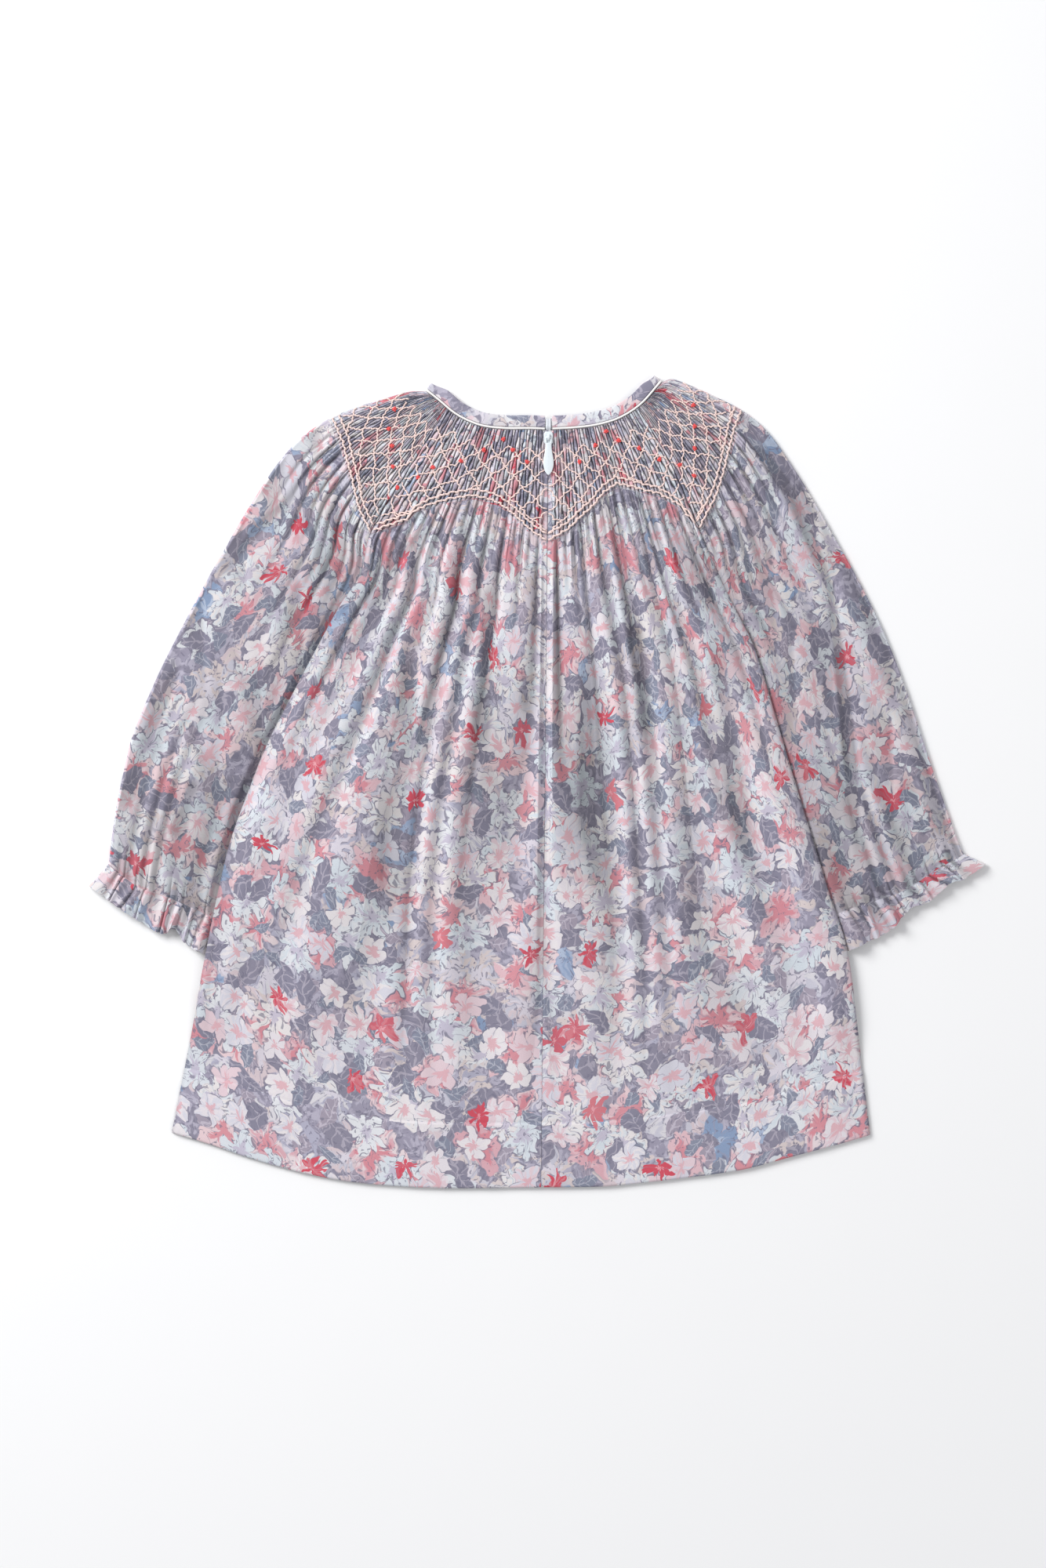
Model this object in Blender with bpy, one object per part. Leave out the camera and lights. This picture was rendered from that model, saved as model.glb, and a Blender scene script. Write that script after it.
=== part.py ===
"""A child's smocked bishop dress, laid flat with its back up, as true-size solids.

Every cloth piece is a closed wall. It is described in the plan by lines through measured points
and in height by a few functions, all in millimetres. X runs to the right of the photo, Y to the
neck and Z up from the table. The front lies on the table, the two sleeves are flattened tubes
beside it, and the two back halves lie on top with a zip between them.
"""

import math
from dataclasses import dataclass

import bpy

MILLIMETRE = 0.001

# Gaps and layers.
SEAM_GAP = 0.34
WALL = 1.2
LOWER_TOP = 1.2
LAYER_BACK = 1.6
TUCK_WIDTH = 9.0
TUCKED_INNER = 1.52
TUCKED_TOP = 2.72
FRONT_LIFT = 3.1
BACK_LIFT_OVER_SLEEVE = 1.5
BACK_LIFT_OVER_FRONT = 3.15

# Smocking and gathers.
BACK_PLEATS = 24
SLEEVE_PLEATS = 18
FRILL_WAVES = 11
SMOCK_VALLEY = 1.35
SMOCK_CREST = 2.95
TRELLIS_PITCH = 18.0
HEM_DEPTH = 36.0
HEM_EXTRA = 0.5

# Neck.
PIPING_RADIUS = 0.66
BINDING_HALF = 0.62
BINDING_WIDTH = 6.3
NECK_TOP_Z = 3.1
NECK_LOW_Z = 0.7
PIPING_TO_PANEL = 1.02
PIPING_TO_BINDING = 0.98
CENTRE_BACK_TOP = (6.4, 197.6)
CENTRE_BACK_HEM = (2.2, -228.4)
FRONT_NECK = ((-28.6, 185.6), (-12.0, 177.2), (6.6, 174.2), (24.0, 178.4), (39.6, 187.4))

FRONT_START = 2.4

# Zip.
TAPE_WIDTH = 3.4
TAPE_LOW = 1.5
TAPE_THICKNESS = 0.8
TAPE_END_Y = 62.0
ZIP_LIFT = 1.0
SLIDER_Y = 192.6
SLIDER_BASE = 4.35
HINGE_Y = 192.6
HINGE_Z = 5.95
PULL_LENGTH = 21.4


@dataclass
class Fold:
    """One hand-placed crease of the cloth.

    Attributes:
        points: its line in the plan, in millimetres.
        width: the distance at which it has nearly faded, in millimetres.
        height: its rise, negative for a trough, in millimetres.
    """

    points: tuple
    width: float
    height: float


@dataclass
class Side:
    """The measured lines of one half of the dress, in millimetres in the plan.

    Attributes:
        name: left or right, as the photo shows it.
        outward: the sign of X away from the centre.
        neck: the piping's centre line from the centre back to the shoulder.
        raglan_share: where along the neck line the raglan seam starts.
        body_edge: the raglan seam and then the side of the skirt, without its first point.
        hem: the hem from the centre back to the side.
        fold_edge: the sleeve's outer fold from the shoulder to the cuff, without its first point.
        cuff: the elastic line from the body to the outer fold.
        frill: the frill's edge from the body to its tip.
        back_smocking: (share across, share down) of the smocking's lower edge on the back.
        sleeve_smocking: the same on the sleeve, from the raglan to the fold.
    """

    name: str
    outward: int
    neck: tuple
    raglan_share: float
    body_edge: tuple
    hem: tuple
    fold_edge: tuple
    cuff: tuple
    frill: tuple
    back_smocking: tuple
    sleeve_smocking: tuple


LEFT = Side(
    name="left",
    outward=-1,
    neck=(CENTRE_BACK_TOP, (-4.4, 198.0), (-17.2, 198.0), (-29.7, 199.3), (-38.3, 202.2),
          (-46.6, 206.8), (-55.0, 213.8), (-62.2, 219.6)),
    raglan_share=0.79,
    body_edge=((-72.6, 174.2), (-93.2, 140.4), (-99.0, 117.0), (-110.8, 98.6), (-125.8, 70.8),
               (-140.8, 42.2), (-151.8, 20.2), (-160.6, -1.8), (-173.8, -39.2), (-186.1, -96.4),
               (-193.6, -138.2), (-205.5, -197.6)),
    hem=(CENTRE_BACK_HEM, (-26.0, -228.8), (-55.0, -228.8), (-81.4, -227.5), (-107.8, -224.8),
         (-134.2, -219.6), (-160.6, -212.1), (-183.9, -204.2), (-205.5, -197.6)),
    fold_edge=((-74.4, 218.2), (-94.6, 212.1), (-107.8, 207.7), (-121.0, 201.1), (-134.2, 191.4),
               (-147.4, 176.0), (-160.6, 155.8), (-173.8, 133.3), (-187.0, 110.0), (-200.2, 84.9),
               (-213.4, 58.5), (-226.6, 27.3), (-231.9, 7.0), (-237.2, -19.4), (-240.6, -46.6)),
    cuff=((-186.1, -74.4), (-205.9, -65.6), (-224.0, -59.0), (-240.6, -46.6)),
    frill=((-185.5, -98.0), (-197.1, -91.8), (-204.2, -82.6), (-209.5, -86.2), (-220.0, -81.0),
           (-236.7, -70.0), (-251.7, -59.0)),
    back_smocking=((0.0, 0.147), (0.09, 0.136), (0.17, 0.122), (0.25, 0.11), (0.335, 0.1), (0.4, 0.0965),
                   (0.52, 0.094), (0.66, 0.105), (0.75, 0.119), (0.815, 0.132), (0.843, 0.15),
                   (0.92, 0.168), (1.0, 0.187)),
    sleeve_smocking=((0.0, 0.258), (0.185, 0.241), (0.42, 0.209), (0.71, 0.178), (0.91, 0.167),
                     (1.0, 0.163)),
)

RIGHT = Side(
    name="right",
    outward=1,
    neck=(CENTRE_BACK_TOP, (20.7, 198.4), (33.4, 200.0), (46.2, 203.9), (58.5, 211.9),
          (69.6, 224.6)),
    raglan_share=0.72,
    body_edge=((74.8, 178.6), (91.0, 141.4), (102.5, 115.3), (113.5, 92.4), (121.0, 77.4),
               (128.0, 56.3), (138.6, 20.2), (145.2, -1.8), (162.8, -59.0), (174.2, -95.0),
               (180.0, -138.2), (187.4, -198.9)),
    hem=(CENTRE_BACK_HEM, (37.4, -227.9), (63.8, -225.3), (90.2, -222.2), (116.6, -218.2),
         (143.0, -211.2), (169.4, -204.2), (187.4, -198.9)),
    fold_edge=((77.0, 225.7), (90.2, 220.4), (103.4, 214.3), (116.6, 207.2), (129.8, 195.8),
               (143.0, 177.3), (156.2, 156.2), (169.4, 132.9), (182.6, 108.7), (195.8, 81.4),
               (209.0, 46.6), (222.2, 6.6), (235.4, -30.8), (239.6, -41.0)),
    cuff=((170.3, -73.5), (187.0, -67.8), (204.6, -62.0), (222.2, -51.0), (239.6, -41.0)),
    frill=((176.5, -94.6), (187.0, -89.8), (196.7, -85.4), (203.7, -78.3), (210.8, -70.8),
           (219.1, -68.6), (231.9, -57.6), (240.2, -55.0), (252.1, -46.6)),
    back_smocking=((0.0, 0.147), (0.14, 0.134), (0.23, 0.1195), (0.325, 0.108), (0.42, 0.092), (0.54, 0.083),
                   (0.65, 0.092), (0.755, 0.105), (0.82, 0.112), (0.93, 0.136), (1.0, 0.178)),
    sleeve_smocking=((0.0, 0.248), (0.25, 0.225), (0.55, 0.185), (0.77, 0.163), (0.95, 0.152),
                     (1.0, 0.15)),
)

BACK_FOLDS = (
    Fold(((-26.4, 117.0), (-32.1, 11.4)), 6.0, -1.0),
    Fold(((-8.8, 64.2), (-6.6, 33.4)), 5.0, -0.6),
    Fold(((26.4, 77.4), (28.6, -23.8), (37.4, -67.8)), 6.0, -1.1),
    Fold(((52.8, 95.0), (61.6, 20.2)), 6.0, -1.0),
    Fold(((-72.6, 77.4), (-72.6, 20.2), (-81.4, -23.8), (-85.8, -103.0)), 6.5, -1.2),
    Fold(((-63.8, 143.4), (-99.0, 86.2)), 5.0, -1.1),
    Fold(((-66.0, 130.2), (-112.2, 77.4)), 5.5, 1.3),
    Fold(((-50.0, 120.0), (-56.0, -20.0)), 9.0, 1.1),
    Fold(((-16.0, 105.0), (-18.0, -10.0)), 7.0, 0.8),
    Fold(((40.0, 130.0), (46.0, -40.0)), 7.0, 1.0),
    Fold(((74.0, 120.0), (88.0, -30.0)), 9.0, 1.2),
    Fold(((98.0, 84.0), (120.0, -60.0)), 7.0, -0.9),
    Fold(((-112.0, 40.0), (-138.0, -90.0)), 10.0, 0.9),
)
LEFT_SLEEVE_FOLDS = (
    Fold(((-112.2, 165.4), (-140.0, 90.0), (-169.4, -1.8)), 10.0, 1.7),
    Fold(((-129.8, 121.4), (-154.0, 15.8), (-173.8, -39.2)), 6.0, -1.4),
    Fold(((-132.0, 165.4), (-182.6, 108.2)), 5.0, -0.9),
    Fold(((-198.0, 73.0), (-220.0, 20.2), (-235.4, -23.8)), 6.0, -1.0),
    Fold(((-191.4, 2.6), (-204.6, -37.0)), 6.0, -1.0),
    Fold(((-170.0, 110.0), (-210.0, 0.0)), 10.0, 1.2),
)
RIGHT_SLEEVE_FOLDS = (
    Fold(((116.6, 196.2), (143.0, 161.0), (165.0, 108.2), (173.8, 29.0), (180.4, -55.0)), 5.5, -1.5),
    Fold(((120.0, 150.0), (150.0, 60.0), (166.0, -30.0)), 8.0, 1.3),
    Fold(((165.0, 140.0), (192.0, 50.0), (204.0, -30.0)), 10.0, 1.3),
    Fold(((188.0, 60.0), (214.0, -20.0)), 5.0, -0.9),
)


def smoothstep(start, end, value):
    """Return 0 at start and 1 at end, with a smooth change between them."""
    share = min(1.0, max(0.0, (value - start) / (end - start)))
    return share * share * (3.0 - 2.0 * share)


def table(rows, share):
    """Read a table of (share, value) rows, with straight lines between the rows."""
    for (left, low), (right, high) in zip(rows, rows[1:]):
        if share <= right:
            return low + (high - low) * (share - left) / (right - left)
    return rows[-1][1]


class Line:
    """A smooth line through plan points, read by its share of the length."""

    def __init__(self, points, steps=8):
        """Round the line off with a Catmull-Rom curve and measure it."""
        self.points = []
        last = len(points) - 1
        for i in range(last):
            before = points[max(0, i - 1)]
            start = points[i]
            end = points[i + 1]
            after = points[min(last, i + 2)]
            for k in range(steps):
                self.points.append(self._between(before, start, end, after, k / steps))
        self.points.append(tuple(points[last]))
        self.lengths = [0.0]
        for start, end in zip(self.points, self.points[1:]):
            self.lengths.append(self.lengths[-1] + math.dist(start, end))
        self.length = self.lengths[-1]

    @staticmethod
    def _between(before, start, end, after, t):
        """Return one point of a Catmull-Rom piece."""
        result = []
        for a, b, c, d in zip(before, start, end, after):
            slope_b = 0.5 * (c - a)
            slope_c = 0.5 * (d - b)
            square = t * t
            cube = square * t
            result.append(
                (2 * cube - 3 * square + 1) * b
                + (cube - 2 * square + t) * slope_b
                + (3 * square - 2 * cube) * c
                + (cube - square) * slope_c
            )
        return tuple(result)

    def at(self, share):
        """Return the point at this share of the length."""
        target = min(1.0, max(0.0, share)) * self.length
        low = 0
        high = len(self.lengths) - 1
        while high - low > 1:
            middle = (low + high) // 2
            if self.lengths[middle] <= target:
                low = middle
            else:
                high = middle
        span = self.lengths[high] - self.lengths[low]
        t = (target - self.lengths[low]) / span
        start = self.points[low]
        end = self.points[high]
        return tuple(a + (b - a) * t for a, b in zip(start, end))

    def normal(self, share):
        """Return the unit normal to the left of the line's direction."""
        step = 0.004
        start = self.at(share - step)
        end = self.at(share + step)
        along = (end[0] - start[0], end[1] - start[1])
        size = math.hypot(*along)
        return (-along[1] / size, along[0] / size)


class Patch:
    """A plan patch between four lines that share their corners."""

    def __init__(self, top, bottom, near, far):
        """Keep the four lines: near and far run from the top to the bottom."""
        self.top = top
        self.bottom = bottom
        self.near = near
        self.far = far
        self.corners = (top.at(0), top.at(1), bottom.at(0), bottom.at(1))

    def at(self, across, down):
        """Return the plan point at these shares across and down."""
        top = self.top.at(across)
        bottom = self.bottom.at(across)
        near = self.near.at(down)
        far = self.far.at(down)
        result = []
        for k in range(2):
            corner_a, corner_b, corner_c, corner_d = (corner[k] for corner in self.corners)
            ruled = (1 - down) * top[k] + down * bottom[k] + (1 - across) * near[k] + across * far[k]
            twice = (1 - down) * ((1 - across) * corner_a + across * corner_b)
            twice += down * ((1 - across) * corner_c + across * corner_d)
            result.append(ruled - twice)
        return tuple(result)

    def width(self, down):
        """Return the straight distance across the patch at this share down."""
        return math.dist(self.near.at(down), self.far.at(down))


def relief(x, y, folds):
    """Return the height that the hand-placed folds add at a plan point."""
    total = 0.0
    for fold in folds:
        best = None
        pieces = len(fold.points) - 1
        for i in range(pieces):
            ax, ay = fold.points[i]
            bx, by = fold.points[i + 1]
            dx = bx - ax
            dy = by - ay
            share = ((x - ax) * dx + (y - ay) * dy) / (dx * dx + dy * dy)
            held = min(1.0, max(0.0, share))
            gap = math.hypot(x - ax - dx * held, y - ay - dy * held)
            if best is None or gap < best[0]:
                best = (gap, (i + held) / pieces)
        gap, along = best
        ends = smoothstep(0.0, 0.18, along) * smoothstep(1.0, 0.75, along)
        total += fold.height * math.exp(-((gap / fold.width) ** 2)) * (0.25 + 0.75 * ends)
    return total


def offset_point(line, share, distance):
    """Return the point this far to the left of the line."""
    x, y = line.at(share)
    normal = line.normal(share)
    return (x + normal[0] * distance, y + normal[1] * distance)


def tuck(length):
    """Return how far the sleeve reaches under the body at this length down the side."""
    return TUCK_WIDTH * smoothstep(86.0, 124.0, length)


class Half:
    """The plan lines and patches of one side of the dress."""

    def __init__(self, side):
        """Derive the seam lines of the side from its measured lines."""
        self.side = side
        self.neck = Line(side.neck)
        down = side.outward
        raglan = offset_point(self.neck, side.raglan_share, -down * PIPING_TO_PANEL)
        self.body = Line((raglan, *side.body_edge))
        self.back = self._back_patch(down)
        self.sleeve, self.frill = self._sleeve_patches(down)

    def _under_neck(self, start, end, count=12):
        """Return a line under the piping between two shares of the neck line."""
        points = []
        for i in range(count + 1):
            share = start + (end - start) * i / count
            points.append(offset_point(self.neck, share, -self.side.outward * PIPING_TO_PANEL))
        return points

    def _back_patch(self, down):
        """Return the patch of the back half, from the zip to its outer edge."""
        middle = down * SEAM_GAP / 2
        top_x = CENTRE_BACK_TOP[0] + middle
        hem_x = CENTRE_BACK_HEM[0] + middle
        edge = []
        count = 60
        for i in range(count + 1):
            edge.append(offset_point(self.body, i / count, -down * SEAM_GAP / 2))
        top = self._under_neck(0.0, self.side.raglan_share)
        top[0] = (top_x, top[0][1])
        top[-1] = edge[0]
        hem = list(self.side.hem)
        hem[0] = (hem_x, hem[0][1])
        hem[-1] = edge[-1]
        return Patch(Line(top, 2), Line(hem), Line((top[0], hem[0]), 2), Line(edge, 1))

    def inner_line(self, start, end, extra=0.0, count=60):
        """Return points of the sleeve's inner line, which runs under the body lower down."""
        down = self.side.outward
        points = []
        for i in range(count + 1):
            length = start + (end - start) * i / count
            inside = tuck(length) + extra - SEAM_GAP / 2
            points.append(offset_point(self.body, length / self.body.length, -down * inside))
        return points

    def length_at(self, y):
        """Return the length down the side at which it reaches this Y."""
        low = 0.0
        high = 1.0
        for _ in range(40):
            middle = (low + high) / 2
            if self.body.at(middle)[1] > y:
                low = middle
            else:
                high = middle
        return low * self.body.length

    def _sleeve_patches(self, down):
        """Return the patches of the sleeve above the elastic and of its frill."""
        cuff_length = self.length_at(self.side.cuff[0][1] - 3.0)
        frill_length = self.length_at(self.side.frill[0][1] - 3.0)
        inner = self.inner_line(0.0, cuff_length)
        tucked = self.inner_line(cuff_length, frill_length, count=8)
        neck = self._under_neck(self.side.raglan_share, 1.0)
        neck[0] = inner[0]
        fold = (neck[-1], *self.side.fold_edge)
        cuff = (inner[-1], *self.side.cuff)
        frill = (tucked[-1], *self.side.frill)
        self.cuff_length = cuff_length
        self.frill_length = frill_length
        elastic = Line(cuff)
        above = Patch(Line(neck, 2), elastic, Line(inner, 1), Line(fold))
        tip = Line((cuff[-1], frill[-1]), 2)
        below = Patch(elastic, Line(frill), Line(tucked, 1), tip)
        return above, below


def side_lift(length):
    """Return how far the edge of the back is raised at this length down the side."""
    over_sleeve = BACK_LIFT_OVER_SLEEVE * smoothstep(68.0, 82.0, length)
    over_front = (BACK_LIFT_OVER_FRONT - BACK_LIFT_OVER_SLEEVE) * smoothstep(116.0, 134.0, length)
    return (over_sleeve + over_front) * smoothstep(394.0, 356.0, length)


def front_lift(length):
    """Return how far the edge of the front is raised at this length down the side."""
    return FRONT_LIFT * smoothstep(140.0, 152.0, length) * smoothstep(373.0, 350.0, length)


def trellis(across, down):
    """Return 0 on the stitched lines of the smocking and 1 in the middle of a diamond."""
    first = abs((across + down) / TRELLIS_PITCH % 1.0 - 0.5)
    second = abs((across - down) / TRELLIS_PITCH % 1.0 - 0.5)
    return smoothstep(0.0, 0.5, 1.0 - 2.0 * max(first, second))


def waver(number):
    """Return a repeatable value from 0 to 1 for a pleat."""
    return 0.5 + 0.5 * math.sin(number * 2.4 + math.sin(number * 1.7) * 2.0)


def back_heights(half, across, down, smocked):
    """Return the plan point and the two heights of the back's wall.

    Args:
        half: the side of the dress.
        across: share from the zip to the outer edge.
        down: share from the neck to the hem.
        smocked: the share down at which the smocking ends here.

    Returns:
        (x, y, inner height, outer height) in millimetres.
    """
    patch = half.back
    x, y = patch.at(across, down)
    width = patch.width(down)
    from_zip = across * width
    from_edge = (1.0 - across) * width
    length = down * half.body.length
    ground = LAYER_BACK + side_lift(length) * smoothstep(27.0, 12.0, from_edge)
    ground += ZIP_LIFT * smoothstep(8.0, 3.6, from_zip) * smoothstep(26.0, 38.0, y)
    pleat = 0.5 - 0.5 * math.cos(2.0 * math.pi * BACK_PLEATS * across)
    free = smoothstep(2.6, 5.2, from_zip)
    if down <= smocked + 1e-9:
        puff = 0.45 + 0.55 * trellis(from_zip + 9.0, length)
        rim = 0.75 + 0.25 * smoothstep(0.0, 6.0, length)
        rise = (SMOCK_CREST - SMOCK_VALLEY) * pleat * puff * free * rim
        return x, y, ground, ground + SMOCK_VALLEY + rise
    fall = (down - smocked) / (1.0 - smocked)
    number = math.floor(across * BACK_PLEATS)
    fine = 1.35 * pleat * (0.45 + 0.55 * waver(number)) * smoothstep(0.30, 0.0, fall)
    broad = 0.5 - 0.5 * math.cos(math.pi * BACK_PLEATS * across)
    coarse = 0.9 * broad * (0.3 + 0.7 * waver(number // 2 + 5))
    coarse *= smoothstep(0.0, 0.12, fall) * smoothstep(0.85, 0.25, fall)
    calm = smoothstep(0.0, 9.0, from_edge) * free * smoothstep(0.92, 0.7, fall)
    body = 0.9 * smoothstep(0.0, 0.15, fall) * smoothstep(1.0, 0.4, fall)
    large = (body + relief(x, y, BACK_FOLDS)) * calm
    inner = ground + 0.6 * max(0.0, large)
    outer = ground + SMOCK_VALLEY + large + (fine + coarse) * (0.2 + 0.8 * calm)
    hem = (1.0 - down) * half.back.near.length
    outer += HEM_EXTRA * smoothstep(HEM_DEPTH + 0.6, HEM_DEPTH - 0.6, hem)
    return x, y, inner, max(outer, inner + 1.1)


def sleeve_heights(half, patch, across, down, smocked, folds):
    """Return the plan point and the two heights of the sleeve's upper layer.

    Args:
        half: the side of the dress.
        patch: the sleeve's patch or its frill's.
        across: share from the inner line to the outer fold.
        down: share down the patch.
        smocked: the share down at which the smocking ends here, or None in the frill.
        folds: the creases of this sleeve.

    Returns:
        (x, y, inner height, outer height) in millimetres.
    """
    x, y = patch.at(across, down)
    width = patch.width(down)
    in_frill = smocked is None
    if in_frill:
        length = half.cuff_length + down * (half.frill_length - half.cuff_length)
    else:
        length = down * half.cuff_length
    hidden = tuck(length)
    clear = across * width - hidden
    from_fold = (1.0 - across) * width
    edge = smoothstep(0.6, 6.0, from_fold)
    joined = smoothstep(70.0, 82.0, length)
    raised = 1.0 - joined + joined * smoothstep(0.8, 7.5, clear)
    waves = 0.5 - 0.5 * math.cos(2.0 * math.pi * FRILL_WAVES * across)
    level = TUCKED_INNER + (LAYER_BACK - TUCKED_INNER) * raised
    thin = TUCKED_TOP - TUCKED_INNER
    if in_frill:
        size = (0.5 + 0.5 * waver(math.floor(across * FRILL_WAVES) + 3)) * raised * edge
        swing = 2.6 * waves * size * smoothstep(0.0, 0.9, down)
        pinch = 0.9 * (1.0 - down) * waves * raised * edge
        inner = level + 0.8 * raised * edge + swing
        return x, y, inner, inner + thin + 0.35 * raised * edge + pinch
    pleat = 0.5 - 0.5 * math.cos(2.0 * math.pi * SLEEVE_PLEATS * across)
    if down <= smocked + 1e-9:
        puff = 0.45 + 0.55 * trellis(across * width, length)
        rise = (SMOCK_CREST - SMOCK_VALLEY) * pleat * puff * edge * raised
        thick = thin + (SMOCK_VALLEY - thin) * raised
        return x, y, level, level + thick + rise
    fall = (down - smocked) / (1.0 - smocked)
    number = math.floor(across * SLEEVE_PLEATS)
    fine = 1.3 * pleat * (0.45 + 0.55 * waver(number)) * smoothstep(0.32, 0.0, fall)
    gathers = 0.9 * waves * smoothstep(0.84, 1.0, fall)
    dome = 1.9 * smoothstep(0.0, 0.2, fall) * smoothstep(1.06, 0.86, fall)
    dome *= smoothstep(0.0, 14.0, from_fold)
    crease = relief(x, y, folds) * smoothstep(0.0, 0.08, fall) * smoothstep(1.0, 0.9, fall)
    large = (dome + crease) * raised * edge
    cuff = 0.8 * smoothstep(0.9, 1.0, fall) * raised * edge
    inner = level + 0.8 * max(0.0, large) + cuff
    outer = level + thin + large + cuff + (0.35 + fine + gathers) * raised * edge
    return x, y, inner, max(outer, inner + 1.1)


def strip(lower, upper):
    """Return the triangles between two rows of (share, corner number)."""
    faces = []
    i = 0
    j = 0
    while i < len(lower) - 1 or j < len(upper) - 1:
        if j == len(upper) - 1:
            step_lower = True
        elif i == len(lower) - 1:
            step_lower = False
        else:
            step_lower = lower[i + 1][0] <= upper[j + 1][0] + 1e-9
        if step_lower:
            faces.append((lower[i][1], lower[i + 1][1], upper[j][1]))
            i += 1
        else:
            faces.append((lower[i][1], upper[j + 1][1], upper[j][1]))
            j += 1
    return faces


def signed_volume(corners, faces):
    """Return six times the volume that the faces enclose."""
    total = 0.0
    for a, b, c in faces:
        ax, ay, az = corners[a]
        bx, by, bz = corners[b]
        cx, cy, cz = corners[c]
        total += ax * (by * cz - bz * cy) + ay * (bz * cx - bx * cz) + az * (bx * cy - by * cx)
    return total


def make_object(name, corners, faces):
    """Make a mesh object from corners in millimetres, with its faces turned outwards."""
    if signed_volume(corners, faces) < 0:
        faces = [tuple(reversed(face)) for face in faces]
    mesh = bpy.data.meshes.new(name)
    scaled = [tuple(value * MILLIMETRE for value in corner) for corner in corners]
    mesh.from_pydata(scaled, [], faces)
    mesh.validate()
    mesh.update()
    made = bpy.data.objects.new(name, mesh)
    bpy.context.scene.collection.objects.link(made)
    return made


def make_wall(name, outer, inner):
    """Make a closed wall between two surfaces.

    Args:
        name: the object's name.
        outer: rows of the outer surface, each (share down, [(share across, x, y, z), ...]).
        inner: rows of the inner surface in the same form, with counts of their own.

    Returns:
        the object.
    """
    corners = []
    numbered = []
    for rows in (outer, inner):
        surface = []
        for down, points in rows:
            row = []
            for share, x, y, z in points:
                row.append((share, len(corners)))
                corners.append((x, y, z))
            surface.append((down, row))
        numbered.append(surface)
    top, under = numbered
    faces = []
    for (_, row), (_, following) in zip(top, top[1:]):
        faces += strip(row, following)
    for (_, row), (_, following) in zip(under, under[1:]):
        faces += [tuple(reversed(face)) for face in strip(row, following)]
    near = [[(down, row[0][1]) for down, row in surface] for surface in numbered]
    far = [[(down, row[-1][1]) for down, row in surface] for surface in numbered]
    faces += strip(under[0][1], top[0][1])
    faces += strip(top[-1][1], under[-1][1])
    faces += strip(near[0], near[1])
    faces += strip(far[1], far[0])
    return make_object(name, corners, faces)


def make_loft(name, rings):
    """Make a closed body through rings of equal counts, with flat ends."""
    count = len(rings[0])
    corners = [corner for ring in rings for corner in ring]
    faces = []
    for i in range(len(rings) - 1):
        for k in range(count):
            a = i * count + k
            b = i * count + (k + 1) % count
            faces.append((a, b, a + count))
            faces.append((b, b + count, a + count))
    last = (len(rings) - 1) * count
    for k in range(1, count - 1):
        faces.append((0, k + 1, k))
        faces.append((last, last + k, last + k + 1))
    return make_object(name, corners, faces)


def back_half(half):
    """Make one half of the back, smocked at the neck and gathered below."""
    smocked = half.side.back_smocking
    smock_rows = 9
    falls = (0.02, 0.055, 0.1, 0.15, 0.2, 0.255, 0.31, 0.37, 0.43, 0.49, 0.56, 0.63, 0.7, 0.78, 0.85)
    outer = []
    inner = []
    fine = 2 * BACK_PLEATS
    for i in range(smock_rows):
        row = []
        for k in range(fine + 1):
            across = k / fine
            limit = table(smocked, across)
            down = limit * i / (smock_rows - 1)
            x, y, _, z = back_heights(half, across, down, limit)
            row.append((across, x, y, z))
        outer.append((0.2 * i / (smock_rows - 1), row))
    hem_share = 1.0 - HEM_DEPTH / half.back.near.length
    hem_falls = []
    for shift in (-0.0035, 0.0035):
        hem_falls.append((hem_share + shift - 0.15) / 0.85)
    for fall in (*falls, *hem_falls, 0.97, 1.0):
        columns = fine if fall < 0.3 else fine // 2
        if fall > 0.8:
            columns = fine // 4
        row = []
        for k in range(columns + 1):
            across = k / columns
            limit = table(smocked, across)
            blend = 0.15 + (limit - 0.15) * smoothstep(0.9, 0.4, fall)
            down = blend + (1.0 - blend) * fall
            x, y, _, z = back_heights(half, across, down, limit)
            row.append((across, x, y, z))
        outer.append((0.2 + 0.8 * fall, row))
    middle = (0.2, 0.32, 0.44, 0.55, 0.66, 0.76)
    levels = (0.0, 0.05, 0.1, 0.15, 0.19, 0.25, 0.3, 0.34, 0.42, 0.5, 0.58, 0.65, 0.72, 0.8, 0.86, 0.92, 1.0)
    for down in levels:
        row = []
        width = half.back.width(down)
        shares = [gap / width for gap in (0.0, 2.6, 5.0, 8.2)]
        shares += middle
        shares += [1.0 - gap / width for gap in (12.0, 8.0, 4.0, 0.0)]
        for across in shares:
            limit = table(smocked, across)
            x, y, z, _ = back_heights(half, across, down, limit)
            row.append((across, x, y, z))
        inner.append((down, row))
    return make_wall("back_" + half.side.name, outer, inner)


def sleeve_row(half, patch, down, columns, smocked, folds, outer_side):
    """Return one row round the flattened sleeve: its upper layer, its fold and its lower layer."""
    width = patch.width(down)
    fold_gap = 1.5 if outer_side else 2.1
    reach = 1.0 - fold_gap / width
    row = []
    for k in range(columns + 1):
        across = reach * k / columns
        limit = None if smocked is None else table(smocked, across)
        x, y, inner, outer = sleeve_heights(half, patch, across, down, limit, folds)
        row.append((0.5 * across, x, y, outer if outer_side else inner))
    fold_share = 1.0 if outer_side else 1.0 - 1.35 / width
    x, y = patch.at(fold_share, down)
    middle = 0.5 * row[-1][3] if outer_side else 0.5 * (row[-1][3] + LOWER_TOP)
    row.append((0.5, x, y, middle))
    lower = 6
    for k in range(lower + 1):
        across = reach * (1.0 - k / lower)
        x, y = patch.at(across, down)
        row.append((1.0 - 0.5 * across, x, y, 0.0 if outer_side else LOWER_TOP))
    return row


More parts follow.
